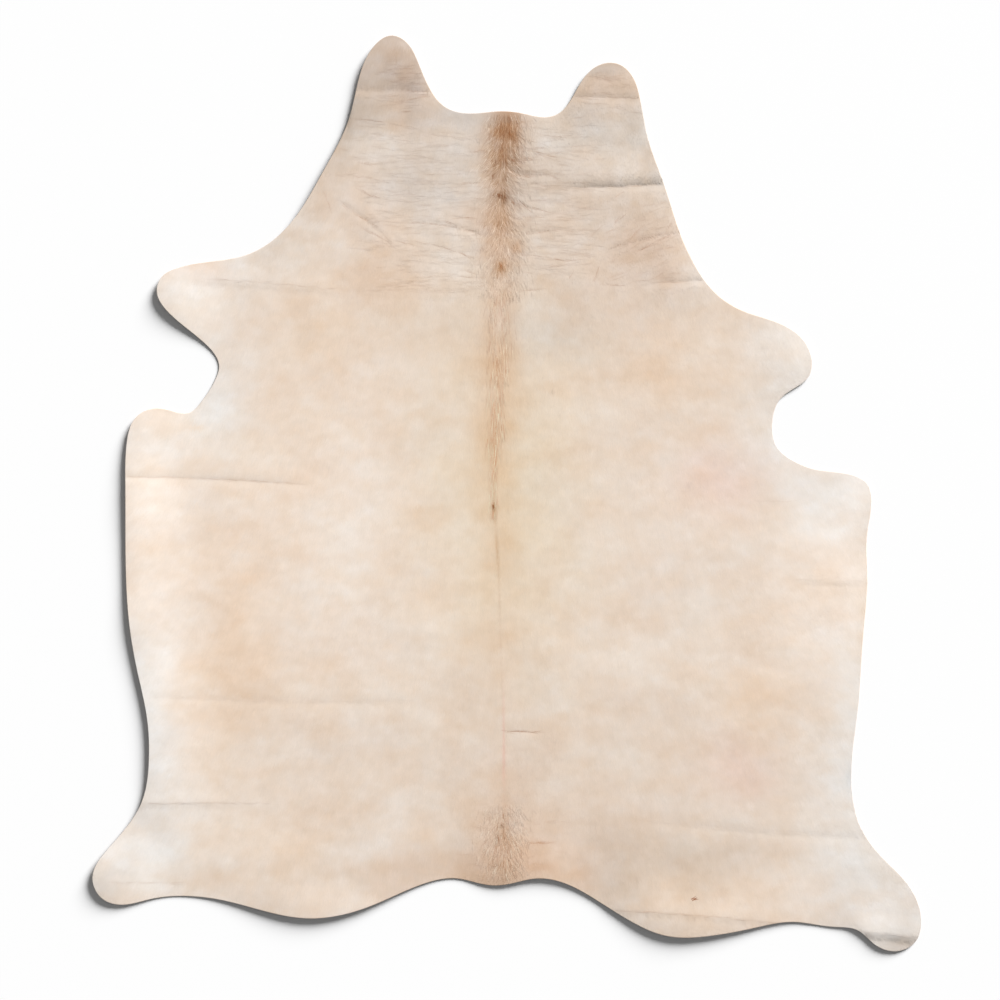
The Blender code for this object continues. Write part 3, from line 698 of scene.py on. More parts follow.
class Hide:
    """The hide's edge, and the heights of its leather over the surface that it lies on."""

    def __init__(self):
        low, high = (np.array(corner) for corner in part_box("cowhide"))
        drawn = np.array([point for section in OUTLINE.values() for point in section]) * MM
        curve = round_spline(drawn, CURVE_STEP)
        self.low, self.high = low[:2], high[:2]
        self.middle = (curve.min(axis=0) + curve.max(axis=0)) / 2
        self.scale = (self.high - self.low) / (curve.max(axis=0) - curve.min(axis=0))
        self.edge = self.placed(curve)
        self.leather_edge = even_steps(self.edge, RIM_STEP)
        self.coat_edge = self.edge + COAT_INSET * inward(self.edge)
        samples = even_steps(self.edge, EDGE_SAMPLE)
        self.tree = KDTree(len(samples))
        for i, (x, y) in enumerate(samples):
            self.tree.insert((x, y, 0.0), i)
        self.tree.balance()
        self.creases = rows(CREASE_COLUMNS, CREASES)
        self.wrinkles = rows(WRINKLE_COLUMNS, WRINKLES) + faint_wrinkles()
        self.swell_noise = SoftNoise(SWELL_SEED)
        self.wobble_noise = SoftNoise(WOBBLE_SEED)
        self.rise_map = self.map_of_rise()

    def placed(self, points):
        """Points of the drawing, in metres, moved and sized so that the hide fills the solid's box."""
        return (np.asarray(points, float) - self.middle) * self.scale + (self.low + self.high) / 2

    def place_of(self, row):
        """The place that a row of a table names."""
        return self.placed([(row["x"] * MM, row["y"] * MM)])

    def from_edge(self, points):
        """The distance from each point to the hide's edge."""
        return np.array([self.tree.find((x, y, 0.0))[2] for x, y in points])

    def inside(self, points):
        """Whether each point lies where the coat grows."""
        return within(self.coat_edge, points)

    def map_of_rise(self):
        """How far the lifted stretches of the edge raise the hide, at a fine square grid of points."""
        columns, lines = np.ceil((self.high - self.low + 2.0 * EDGE_SOFT) / RISE_CELL).astype(int) + 2
        x = self.low[0] - EDGE_SOFT + (np.arange(columns) - 0.5) * RISE_CELL
        y = self.low[1] - EDGE_SOFT + (np.arange(lines) - 0.5) * RISE_CELL
        points = np.column_stack([np.repeat(x, lines), np.tile(y, columns)])
        near_edge = smooth_step(1.0 - self.from_edge(points) / EDGE_BAND).reshape(columns, lines)
        rise = np.zeros(len(points))
        for shift in ring_shifts():
            rise += self.read_map(near_edge, points + shift) / RING_PLACES
        total = np.zeros(len(points))
        for row in rows(EDGE_COLUMNS, EDGE_LIFTS):
            gap = np.linalg.norm(points - self.place_of(row), axis=1)
            total += row["lift"] * MM * smooth_step(1.0 - gap / (EDGE_FADE * row["reach"] * MM)) * rise
        return total.reshape(columns, lines)

    def read_map(self, values, points):
        """A map of values on that grid, read between its points."""
        at = (points - self.low + EDGE_SOFT) / RISE_CELL + 0.5
        cell = np.clip(np.floor(at).astype(int), 0, np.array(values.shape) - 2)
        a, b = np.clip(at - cell, 0.0, 1.0).T
        i, j = cell.T
        return mixed(values, i, j, i + 1, j + 1, a, b)

    def edge_rise(self, points):
        """How far the lifted stretches of the edge raise the hide at each point."""
        return self.read_map(self.rise_map, points)

    def line(self, row):
        """A crease's start, its run to the other end, its length and the way to its neck side."""
        drawn = np.array([(row["x0"], row["y0"]), (row["x1"], row["y1"])]) * MM
        start, end = self.placed(drawn)
        run = end - start
        length = np.linalg.norm(run)
        return start, run, length, np.array([-run[1], run[0]]) / length

    def bow(self, row, share):
        """How far a crease stands off its straight line at a share of its length."""
        along = share * self.line(row)[2] / WOBBLE_CELL
        place = np.full(len(along), row["x0"] + WOBBLE_SHIFT * row["y0"])
        stray = WOBBLE * self.wobble_noise(along, place)
        return 4.0 * row["bow"] * MM * share * (1.0 - share) + stray

    def along_line(self, row, share, off):
        """Points at each share of a crease's length, all the same way off to its neck side."""
        start, run, _, neckward = self.line(row)
        return start + share[:, None] * run + (self.bow(row, share) + off)[:, None] * neckward

    def beside_line(self, row, points):
        """Each point's share of a crease's length and its distance to the neck side."""
        start, run, length, neckward = self.line(row)
        share = (points - start) @ run / length**2
        return share, (points - start) @ neckward - self.bow(row, share)

    def crease_fade(self, crease, share):
        """How far a crease has risen at a share of its length: 0 at its ends, 1 between them."""
        length = self.line(crease)[2] / MM
        start, end = share * length / crease["fade0"], (1.0 - share) * length / crease["fade1"]
        return smooth_step(start) * smooth_step(end)

    def box_of(self, row, reach):
        """The low and high corners of the box that a crease and its surroundings lie in."""
        start, run, _, _ = self.line(row)
        ends = np.array([start, start + run])
        reach = reach + abs(row["bow"]) * MM + WOBBLE
        return ends.min(axis=0) - reach, ends.max(axis=0) + reach

    def crease_height(self, crease, points):
        """How far one crease lifts the hide at each point."""
        share, off = self.beside_line(crease, points)
        neck_side = off > 0.0
        width = np.where(neck_side, crease["neck_width"], crease["tail_width"]) * MM
        lift = np.where(neck_side, crease["neck_lift"], crease["tail_lift"]) * MM
        far = np.abs(off) / width
        lift = lift * self.crease_fade(crease, share)
        if crease["kind"] == RIDGE:
            return lift * smooth_step(1.0 - far / RIDGE_REACH)
        return lift * trough_profile(far)

    def wrinkled(self, points):
        """The depth of the fine wrinkles at each point, as their table gives it."""
        total = np.zeros(len(points))
        find = box_finder(points)
        for wrinkle in self.wrinkles:
            near = find(*self.box_of(wrinkle, WRINKLE_REACH * WRINKLE_WIDTH))
            if len(near):
                share, off = self.beside_line(wrinkle, points[near])
                sunk = wrinkle_fade(share) * np.exp(-((off / WRINKLE_WIDTH) ** 2))
                total[near] += wrinkle["depth"] * sunk
        return total

    def near_creases(self, points, widths, reach):
        """Each crease with the points that it reaches, by the greater of two of its widths."""
        find = box_finder(points)
        for crease in self.creases:
            widest = max(crease[width] for width in widths) * MM
            yield crease, find(*self.box_of(crease, reach * widest))

    def groove_painted_shade(self, points):
        """The painted shade that the creases' dark lines and the wrinkles add to the coat's colour."""
        total = self.wrinkled(points)[:, None] * np.array(WRINKLE_PAINTED_SHADE)
        for crease, near in self.near_creases(points, ("line_neck", "line_tail"), LINE_REACH):
            share, off = self.beside_line(crease, points[near])
            width = np.where(off > 0.0, crease["line_neck"], crease["line_tail"]) * MM
            dark = crease["line"] * np.exp(-((off / width) ** 2)) * self.crease_fade(crease, share)
            total[near] -= dark[:, None]
        return total

    def under(self, points):
        """The height of the lower face at each point."""
        u, v = points.T / SWELL_CELL
        total = self.edge_rise(points) + SWELL_HEIGHT * np.maximum(self.swell_noise.clouds(u, v), 0.0)
        for crease, near in self.near_creases(points, ("neck_width", "tail_width"), TROUGH_REACH):
            total[near] += self.crease_height(crease, points[near])
        return total

    def top(self, points):
        """The height of the leather's hair side at each point."""
        return self.under(points) + LEATHER_THICKNESS - WRINKLE_DEPTH * self.wrinkled(points)

    def up(self, points):
        """The way that the hair side faces at each point."""
        here = self.top(points)
        slope_x, slope_y = (
            (self.top(points + step) - here) / SLOPE_STEP for step in ((SLOPE_STEP, 0.0), (0.0, SLOPE_STEP))
        )
        normal = np.column_stack([-slope_x, -slope_y, np.ones(len(points))])
        return normal / np.linalg.norm(normal, axis=1)[:, None]


class Coat:
    """The colour of the hair and the way it lies, anywhere on the hide."""

    def __init__(self, hide):
        self.hide = hide
        self.patches = rows(PATCH_COLUMNS, PATCHES)
        self.marks = rows(PATCH_COLUMNS, MARKS)
        self.spine = dict(zip(SPINE_COLUMNS, np.array(SPINE, float)[::-1].T))
        self.warp = [SoftNoise(seed) for seed in WARP_SEEDS]
        self.light, self.hue, self.streak, self.wander = (SoftNoise(seed) for seed in COAT_SEEDS)

    def at_spine(self, name, y):
        """A column of the spine's table at each height y."""
        return np.interp((y + self.hide.middle[1]) / MM, self.spine["y"], self.spine[name])

    def beside_spine(self, points):
        """How far each point lies to the right of the spine."""
        return points[:, 0] - self.at_spine("x", points[:, 1]) * MM

    def lie(self, points):
        """The way the hair lies at each point, as an angle from +X."""
        off = self.beside_spine(points)
        sweep = self.at_spine("sweep", points[:, 1])
        near = np.tanh(off / (SWEEP_START * SWEEP_REACH)) * np.exp(-((off / SWEEP_REACH) ** 2))
        outward = FLOW_SPREAD * points[:, 0] + sweep * near
        u, v = points.T / FLOW_WANDER_CELL
        return np.arctan2(-1.0, outward) + FLOW_WANDER * self.wander.clouds(u, v)

    def along_hair(self, points):
        """Each point's distance along the hair and across it."""
        x, down = points[:, 0], -points[:, 1]
        return down + FLOW_SPREAD * x**2 / 2, x * np.exp(-FLOW_SPREAD * down)

    def patch_colour(self, points):
        """What the tone patches add to the coat's colour, painted light and shade among them."""
        cell = points / PATCH_WARP_CELL
        shift = np.column_stack([noise.clouds(*cell.T) for noise in self.warp])
        moved = points + PATCH_WARP * shift
        total = np.zeros((len(points), 3))
        for spots, places in ((self.patches, moved), (self.marks, points)):
            for spot in spots:
                total += self.spot_share(spot, places)[:, None] * np.array(TONES[spot["tone"]])
        return total

    def spot_share(self, spot, points):
        """How strong a patch or mark is at each point."""
        x, y = turned(*(points - self.hide.place_of(spot)).T, -math.radians(spot["turn"]))
        a, b = x / (spot["reach_x"] * MM), y / (spot["reach_y"] * MM)
        return spot["strength"] * np.exp(-(a * a + b * b))

    def spine_colour(self, points):
        """What the dark line of the spine adds, broken up along the hair."""
        off = self.beside_spine(points) / MM
        y = points[:, 1]
        along, across = self.along_hair(points)
        more_along, more_across = SPINE_STREAKS
        broken = self.streak(along / STREAK_ALONG * more_along, across / STREAK_ACROSS * more_across)
        middle = self.at_spine("middle", y) * np.exp(-((off / self.at_spine("half_middle", y)) ** 2))
        far = np.abs(off / self.at_spine("half_band", y))
        band = self.at_spine("band", y) * np.exp(-(far**BAND_POWER))
        middle = middle * (1.0 + SPINE_BREAK * broken)
        return middle[:, None] * np.array(SPINE_MIDDLE) + band[:, None] * np.array(SPINE_BAND)

    def mottle_colour(self, points):
        """Soft clouds and faint streaks along the hair."""
        total = np.zeros((len(points), 3))
        low, high = NECK_Y
        neck = smooth_step((points[:, 1] / MM - low) / (high - low))
        gain = 1.0 + NECK_MOTTLE * neck
        stretch = np.array([MOTTLE_STRETCH, 1.0 / MOTTLE_STRETCH])[:, None]
        for level, row in enumerate(rows(MOTTLE_COLUMNS, MOTTLE)):
            u, v = turned(*(points.T * stretch / row["cell"]), MOTTLE_TURN * level)
            u = u + MOTTLE_APART * level
            cloud = np.array((row["red"], row["green"], row["blue"]))
            total += (gain * self.light.clouds(u, v))[:, None] * cloud
            total += (gain * self.hue.clouds(u, v))[:, None] * np.array(MOTTLE_TINT)
        along, across = self.along_hair(points)
        streak = self.streak(along / STREAK_ALONG, across / STREAK_ACROSS)
        return total + STREAK_LIGHT * streak[:, None]

    def colour(self, points):
        """The coat's colour at each point, in steps of 255, with the patches' painted light and shade."""
        return COAT + self.patch_colour(points) + self.spine_colour(points) + self.mottle_colour(points)


def linear(steps):
    """Colours in steps of 255 as linear light, with an alpha of 1."""
    share = np.clip(np.asarray(steps, float) / 255.0, 0.0, 1.0)
    light = np.where(share <= 0.04045, share / 12.92, ((share + 0.055) / 1.055) ** 2.4)
    return np.column_stack([light, np.ones(len(light))])


def filled(loop, inner):
    """Triangles that fill a closed loop, through the points inside it. The loop's points come first."""
    flat = np.vstack([loop, inner])
    rim = len(loop)
    _, _, faces, origin, *_ = delaunay_2d_cdt(
        [Vector(point) for point in flat], [(i, (i + 1) % rim) for i in range(rim)], [], 0, NEARNESS
    )
    first = np.array([olds[0] for olds in origin])
    faces = first[np.array(faces)]
    return faces[within(loop, flat[faces].mean(axis=1))]


def lattice(hide, gap):
    """An even triangular pattern of points over the hide's box."""
    width, length = hide.high - hide.low
    step = gap * math.sqrt(0.75)
    lines = int(length / step) + 1
    columns = int(width / gap) + 1
    line, column = np.divmod(np.arange(lines * columns), columns)
    x = hide.low[0] + (column + 0.5 * (line % 2)) * gap
    y = hide.low[1] + line * step
    return np.column_stack([x, y])


def crease_rows(hide):
    """Rows of points along the creases and wrinkles, where the leather bends sharply."""
    found = []
    for wrinkle in hide.wrinkles:
        if wrinkle["depth"] < WRINKLE_MODELLED:
            continue
        length = hide.line(wrinkle)[2]
        share = np.linspace(*WRINKLE_SPAN, max(3, round(length / WRINKLE_STEP)))
        found += [hide.along_line(wrinkle, share, row * WRINKLE_WIDTH) for row in WRINKLE_ROWS]
    for crease in hide.creases:
        length = hide.line(crease)[2]
        share = np.linspace(0.0, 1.0, max(3, round(length / FIELD_STEP)))
        found += [hide.along_line(crease, share, row * FIELD_STEP) for row in CREASE_ROWS]
    return np.vstack(found)


def thinned(groups):
    """The points of each group in turn that keep the group's own distance from those already kept."""
    kept, cells = [], {}
    size = max(apart for _, apart in groups)
    for points, apart in groups:
        for x, y in points:
            column, line = math.floor(x / size), math.floor(y / size)
            around = [(column + i, line + j) for i in (-1, 0, 1) for j in (-1, 0, 1)]
            others = [other for cell in around for other in cells.get(cell, ())]
            if all((u - x) ** 2 + (v - y) ** 2 >= apart * apart for u, v in others):
                cells.setdefault((column, line), []).append((x, y))
                kept.append((x, y))
    return np.array(kept)


def inner_points(hide, points, margin):
    """The points that lie inside the edge by more than the margin."""
    points = points[hide.inside(points)]
    return points[hide.from_edge(points) > margin]


def set_colours(mesh, colours):
    """Stores a colour in steps of 255 at each point."""
    layer = mesh.color_attributes.new("coat", "FLOAT_COLOR", "POINT")
    layer.data.foreach_set("color", linear(colours).astype(np.float32).ravel())


def mesh_from(name, points, faces, sizes):
    """A mesh from arrays: the faces' corners in one row, with each face's number of corners."""
    mesh = bpy.data.meshes.new(name)
    mesh.vertices.add(len(points))
    mesh.vertices.foreach_set("co", np.asarray(points, np.float32).ravel())
    mesh.loops.add(len(faces))
    mesh.loops.foreach_set("vertex_index", np.asarray(faces, np.int32))
    mesh.polygons.add(len(sizes))
    starts = np.concatenate([[0], np.cumsum(sizes)[:-1]])
    mesh.polygons.foreach_set("loop_start", starts.astype(np.int32))
    mesh.update(calc_edges=True)
    return mesh


def add_object(name, data):
    """Puts a mesh, a light or a camera into the scene."""
    thing = bpy.data.objects.new(name, data)
    bpy.context.scene.collection.objects.link(thing)
    return thing


def rim_rings(rim, starts):
    """The faces of the rings round the cut edge. Each loop's points start at a number of starts."""
    step = np.arange(rim)
    after = (step + 1) % rim
    rings = [
        np.column_stack([upper + step, upper + after, lower + after, lower + step])
        for upper, lower in zip(starts[:-1], starts[1:])
    ]
    return np.vstack(rings)


def make_leather(hide, coat, materials):
    """The closed sheet of leather: hair side, cut edge and suede side."""
    edge = hide.leather_edge
    rim, margin = len(edge), RIM_LOOPS[0][0]
    way_in, ground = inward(edge), hide.under(edge)
    loops = [
        np.column_stack([edge + inset * way_in, ground + share * LEATHER_THICKNESS])
        for inset, share in RIM_LOOPS
    ]

    fine = inner_points(hide, crease_rows(hide), margin + CREASE_MARGIN * FIELD_STEP)
    field = inner_points(hide, lattice(hide, FIELD_STEP), margin + FIELD_MARGIN * FIELD_STEP)
    inner = thinned([(fine, CREASE_APART), (field, FIELD_APART * FIELD_STEP)])
    below = inner_points(hide, lattice(hide, UNDER_STEP), margin + UNDER_MARGIN * UNDER_STEP)
    top = np.vstack([loops[0], np.column_stack([inner, hide.top(inner)])])
    under = np.vstack([loops[-1], np.column_stack([below, hide.under(below)])])
    parts = [top, *loops[1:-1], under]
    starts = np.concatenate([[0], np.cumsum([len(part) for part in parts[:-1]])])

    top_faces = filled(loops[0][:, :2], inner)
    under_faces = filled(loops[-1][:, :2], below)[:, ::-1] + starts[-1]
    rings = rim_rings(rim, starts)
    points = np.vstack(parts)
    faces = np.concatenate([top_faces.ravel(), rings.ravel(), under_faces.ravel()])
    sizes = np.repeat([3, 4, 3], [len(top_faces), len(rings), len(under_faces)])
    mesh = mesh_from("leather", points, faces, sizes)
    hair_rings = HAIR_RINGS * rim
    kinds = [len(top_faces) + hair_rings, len(rings) - hair_rings, len(under_faces)]
    mesh.polygons.foreach_set("material_index", np.repeat([0, 1, 2], kinds).astype(np.int32))
    mesh.shade_smooth()
    set_colours(mesh, coat.colour(points[:, :2]) + hide.groove_painted_shade(points[:, :2]))
    for material in materials:
        mesh.materials.append(material)
    return add_object("leather", mesh)


def short_of_creases(hide, root, way, length, rng):
    """Shortens some of the locks that would cross a wrinkle or crease, so that they end at it."""
    length = length.copy()
    find = box_finder(root)
    for row in hide.wrinkles + hide.creases:
        near = find(*hide.box_of(row, LOCK_LENGTH[1]))
        share, off = hide.beside_line(row, root[near])
        tip_off = hide.beside_line(row, root[near] + way[near] * length[near, None])[1]
        if "line" in row:
            chance = smooth_step(LINE_RISE * hide.crease_fade(row, share)) * (row["line"] >= LINE_PARTS)
        else:
            chance = row["depth"] * WRINKLE_PARTS * wrinkle_fade(share)
        crosses = (off * tip_off < 0.0) & (rng.random(len(near)) < chance)
        reach = np.abs(off) / np.maximum(np.abs(off) + np.abs(tip_off), NEARNESS)
        length[near] *= np.where(crosses, reach, 1.0)
    return length


def short_of_edge(hide, root, way, length):
    """Shortens the locks that would reach past the hide's edge, so that they end at it."""
    past = ~hide.inside(root + way * length[:, None])
    root, way = root[past], way[past]
    shortest, longest = np.zeros(len(root)), length[past]
    for _ in range(EDGE_HALVINGS):
        middle = (shortest + longest) / 2
        out = ~hide.inside(root + way * middle[:, None])
        longest = np.where(out, middle, longest)
        shortest = np.where(out, shortest, middle)
    length = length.copy()
    length[past] = shortest
    return length


def lock_roots(hide, rng):
    """Roots spread evenly but not in rows."""
    points = lattice(hide, LOCK_GAP)
    points = points + rng.uniform(-LOCK_SCATTER, LOCK_SCATTER, points.shape) * LOCK_GAP
    return points[hide.inside(points)]


def set_normals(mesh, normals):
    """Stores the way that the surface seems to face at each point."""
    normals = normals / np.linalg.norm(normals, axis=1)[:, None]
    mesh.normals_split_custom_set_from_vertices(normals.tolist())


def cell_uv(mesh, count, corners):
    """A small cell of the UV square for each lock or tuft, with its corners as shares of the cell."""
    side = math.ceil(math.sqrt(count))
    cell = np.column_stack(np.divmod(np.arange(count), side))
    uv = (cell[:, None, :] + np.asarray(corners)[None, :, :]) / side
    layer = mesh.uv_layers.new(name="OFBake")
    layer.data.foreach_set("uv", uv.astype(np.float32).ravel())


def hair_piece(mesh, material, count, normals, colours, corners):
    """Finishes a mesh of locks or tufts and puts it into the scene."""
    mesh.shade_smooth()
    set_normals(mesh, normals)
    set_colours(mesh, colours)
    cell_uv(mesh, count, corners)
    mesh.materials.append(material)
    return add_object(mesh.name, mesh)


def lock_heights(hide, flat, waist, rng):
    """The height of each lock's root, sides and tip, so that its ridge just clears the leather."""
    root = hide.top(flat[:, 0]) + LOCK_ROOT
    tip = hide.top(flat[:, 3]) + rng.uniform(*LOCK_TIP, len(flat))
    chord = root + LOCK_WIDEST * (tip - root)
    raised = np.maximum(hide.top(waist) + LOCK_OVER - chord, 0.0)
    side = chord + raised - LOCK_RIDGE
    return np.column_stack([root + raised, side, side, tip + raised])


def make_locks(hide, coat, material, name, root, rng):
    """The locks of one part of the coat: long flat kites, with a ridge from root to tip."""
    count = len(root)
    heading = coat.lie(root) + rng.normal(0.0, LOCK_JITTER, count)
    way = way_of(heading)
    length = rng.uniform(*LOCK_LENGTH, count)
    width = rng.uniform(*LOCK_WIDTH, count)
    length = short_of_edge(hide, root, way, short_of_creases(hide, root, way, length, rng))
    keep = length > LOCK_SHORTEST
    root, way, length, width = root[keep], way[keep], length[keep], width[keep]
    count = len(root)
    left = np.column_stack([-way[:, 1], way[:, 0]])
    waist = root + way * (LOCK_WIDEST * length)[:, None]
    width = np.minimum(width, 2.0 * np.maximum(hide.from_edge(waist) - COAT_INSET, 0.0) + NARROWEST)
    side = left * width[:, None] / 2
    flat = np.stack([root, waist + side, waist - side, root + way * length[:, None]], axis=1)
    points = np.dstack([flat, lock_heights(hide, flat, waist, rng)]).reshape(-1, 3)
    faces = (4 * np.arange(count)[:, None] + (LOCK_UPPER + LOCK_LOWER)).ravel()
    mesh = mesh_from(name, points, faces, np.full(4 * count, 3))

    lean = np.zeros((count, 4, 3))
    lean[:, 1, :2] = left * LOCK_SIDE_LEAN
    lean[:, 2, :2] = -left * LOCK_SIDE_LEAN
    normals = np.repeat(hide.up(waist), 4, axis=0) + lean.reshape(-1, 3)
    tint = rng.normal(0.0, LOCK_TINT, count)
    colours = np.repeat(coat.colour(waist) + tint[:, None], 4, axis=0)
    colours += hide.groove_painted_shade(flat.reshape(-1, 2))
    corners = [UPPER_UV[c] for c in LOCK_UPPER] + [LOWER_UV[c] for c in LOCK_LOWER]
    return hair_piece(mesh, material, count, normals, colours, corners)


def make_coat(hide, coat, material):
    """The whole short coat, in four pieces."""
    rng = np.random.default_rng(LOCK_SEED)
    root = lock_roots(hide, rng)
    root = root[np.argsort(root[:, 1])[::-1]]
    names = ("coat_neck", "coat_shoulders", "coat_belly", "coat_rump")
    parts = np.array_split(root, len(names))
    return [make_locks(hide, coat, material, name, part, rng) for name, part in zip(names, parts)]


def spine_tufts(coat, rng):
    """Where the tufts of the spine start, the way they lie, their length, width, lift and colour."""
    found = []
    for row in rows(TUFT_COLUMNS, TUFTS):
        count = row["count"]
        y = rng.uniform(row["y0"], row["y1"], count) * MM
        off = rng.normal(0.0, TUFT_SPREAD, count) * row["half_width"] * MM
        root = np.column_stack([coat.at_spine("x", y) * MM + off, y])
        heading = coat.lie(root) + rng.normal(0.0, row["jitter"], count)
        length = rng.uniform(row["shortest"], row["longest"], count)
        tan = np.clip((COAT[2] - coat.colour(root)[:, 2]) / TUFT_TAN, TUFT_LEAST_TAN, 1.0)
        share = np.array((row["red"], *TUFT_TINT_COLOUR))
        change = (rng.normal(row["shade"], row["tint"], count) * tan)[:, None] * share
        wide, lift = np.full(count, row["wide"]), np.full(count, row["lift"])
        found.append(np.column_stack([root, heading, length, wide, lift, change]))
    return np.vstack(found)


def groove_shade_strands(hide, rng):
    """The same of the fine dark strands that lie along the wrinkles and creases, whose darkness is painted
    shade along their grooves.
    """
    found = []
    for row in hide.wrinkles + hide.creases:
        count = max(2, round(hide.line(row)[2] / STRAND_APART))
        share = rng.uniform(*STRAND_STARTS, count)
        off = rng.normal(0.0, STRAND_SPREAD, count)
        root = hide.along_line(row, share, off)
        run = hide.along_line(row, share + STRAND_AHEAD, off) - root
        if "strands" in row:
            dark = row["strands"] * hide.crease_fade(row, share)
        else:
            middle = STRAND_ENDS + (1.0 - STRAND_ENDS) * wrinkle_fade(share)
            dark = row["depth"] * STRAND_TINT * middle
        tint = dark * rng.uniform(*STRAND_TINTS, count)
        heading = np.arctan2(run[:, 1], run[:, 0]) + rng.normal(0.0, STRAND_JITTER, count)
        found.append(np.column_stack([root, heading, tint]))
    x, y, heading, tint = np.vstack(found).T
    count = len(x)
    length = rng.uniform(*STRAND_LENGTH, count)
    wide, lift = np.full(count, STRAND_WIDTH), np.full(count, STRAND_LIFT)
    change = -tint[:, None] * np.array(STRAND_TINT_COLOUR)
    return np.column_stack([x, y, heading, length, wide, lift, change])


def stray_tufts(hide, rng):
    """The same of the single dark tufts."""
    found = []
    for row in rows(STRAY_COLUMNS, STRAYS):
        count = row["count"]
        root = hide.place_of(row) + rng.normal(0.0, STRAY_SPREAD, (count, 2))
        heading = math.radians(row["heading"]) + rng.normal(0.0, STRAY_JITTER, count)
        length = row["length"] * MM * rng.uniform(*STRAY_LENGTHS, count)
        tint = row["tint"] * rng.uniform(*STRAY_TINTS, count)
        found.append(np.column_stack([root, heading, length, tint]))
    x, y, heading, length, tint = np.vstack(found).T
    same = np.ones(len(x))
    change = -tint[:, None] * np.array(STRAND_TINT_COLOUR)
    return np.column_stack([x, y, heading, length, same, same, change])


def tuft_paths(root, heading, length, bend):
    """Each tuft's stations on its bent way, and the way across it at each."""
    spot = root
    flats, acrosses = [], []
    for station in range(TUFT_STATIONS + 1):
        way = way_of(heading + bend * station / TUFT_STATIONS)
        flats.append(spot)
        acrosses.append(np.column_stack([way[:, 1], -way[:, 0]]))
        spot = spot + way * (length / TUFT_STATIONS)[:, None]
    return np.stack(flats, axis=1), np.stack(acrosses, axis=1)


def tuft_points(flat, across, width, height):
    """Each tuft's corners: left, right and top at each station, then its tip."""
    side = across * width[:, :, None] / 2
    corners = []
    for station in range(TUFT_STATIONS):
        middle, out = flat[:, station], side[:, station]
        level, wide = height[:, station, None], width[:, station, None]
        corners.append(np.hstack([middle - out, level]))
        corners.append(np.hstack([middle + out, level]))
        corners.append(np.hstack([middle, level + TUFT_RIDGE * wide]))
    corners.append(np.hstack([flat[:, -1], height[:, -1:]]))
    return np.stack(corners, axis=1)


def tuft_faces():
    """The corners of one tuft's faces in one row, and how many each face has."""
    pattern, sizes = [0, 1, 2], [3]
    for k in range(TUFT_STATIONS - 1):
        left, right, top = 3 * k, 3 * k + 1, 3 * k + 2
        for a, b in ((left, top), (top, right), (right, left)):
            pattern += [a, b, b + 3, a + 3]
            sizes.append(4)
    tip = 3 * TUFT_STATIONS
    left, right, top = tip - 3, tip - 2, tip - 1
    pattern += [left, top, tip, top, right, tip, right, left, tip]
    return np.array(pattern), sizes + [3, 3, 3]


def tuft_uv(pattern):
    """The place of each face's corners in a tuft's cell of the UV square."""
    (start_u, start_v), (run_u, run_v) = TUFT_UV_START, TUFT_UV_RUN
    spots = list(FOOT_UV)
    for corner in pattern[3:]:
        station, part = divmod(corner, 3)
        spots.append((start_u + run_u * part, start_v + run_v * station / TUFT_STATIONS))
    return spots


def make_tufts(hide, coat, material, name, tufts, rng):
    """Thin three-sided tufts of longer hair that bend as they lie."""
    root, heading, length = tufts[:, :2], tufts[:, 2], tufts[:, 3]
    inside = hide.inside(root) & hide.inside(root + way_of(heading) * length[:, None])
    root, change = root[inside], tufts[inside, 6:]
    heading, length, wide, lift = tufts[inside, 2:6].T
    count = len(root)
    bend = rng.normal(0.0, TUFT_BEND, count) * lift
    flat, across = tuft_paths(root, heading, length, bend)
    taper = np.sqrt(TUFT_TAPER - np.linspace(0.0, 1.0, TUFT_STATIONS + 1))
    width = (wide * rng.uniform(*TUFT_WIDTHS, count))[:, None] * TUFT_WIDTH * taper
    lift = (lift * rng.uniform(*TUFT_HEIGHTS, count))[:, None] * TUFT_HEIGHT
    height = hide.top(flat.reshape(-1, 2)).reshape(count, -1) + lift * np.array(TUFT_RISE)

    points = tuft_points(flat, across, width, height)
    each = points.shape[1]
    pattern, sizes = tuft_faces()
    faces = (each * np.arange(count)[:, None] + pattern).ravel()
    mesh = mesh_from(name, points.reshape(-1, 3), faces, np.tile(sizes, count))
    up = np.repeat(hide.up(flat[:, 1])[:, None, :], each, axis=1)
    for station in range(TUFT_STATIONS):
        up[:, 3 * station, :2] -= TUFT_SIDE_LEAN * across[:, station]
        up[:, 3 * station + 1, :2] += TUFT_SIDE_LEAN * across[:, station]
    colours = np.repeat(coat.colour(flat[:, 1]) + change, each, axis=0)
    return hair_piece(mesh, material, count, up.reshape(-1, 3), colours, tuft_uv(pattern))


def make_long_hair(hide, coat, material):
    """The tufts of the spine with the single dark ones, and the strands of painted shade along the wrinkles
    and creases.
    """
    rng = np.random.default_rng(TUFT_SEED)
    tufts = np.vstack([spine_tufts(coat, rng), stray_tufts(hide, rng)])
    strands = groove_shade_strands(hide, rng)
    return [
        make_tufts(hide, coat, material, "spine_tufts", tufts, rng),
        make_tufts(hide, coat, material, "groove_shade_strands", strands, rng),
    ]


def shader_of(material):
    """The shader that Blender gives a new material."""
    return material.node_tree.nodes["Principled BSDF"]


def set_inputs(node, values):
    """Sets a node's inputs by name."""
    for name, value in values.items():
        node.inputs[name].default_value = value


def make_material(name, roughness, specular):
    """A plain material whose colour is set afterwards."""
    material = bpy.data.materials.new(name)
    material.use_nodes = True
    set_inputs(shader_of(material), {"Roughness": roughness, "Specular IOR Level": specular})
    return material


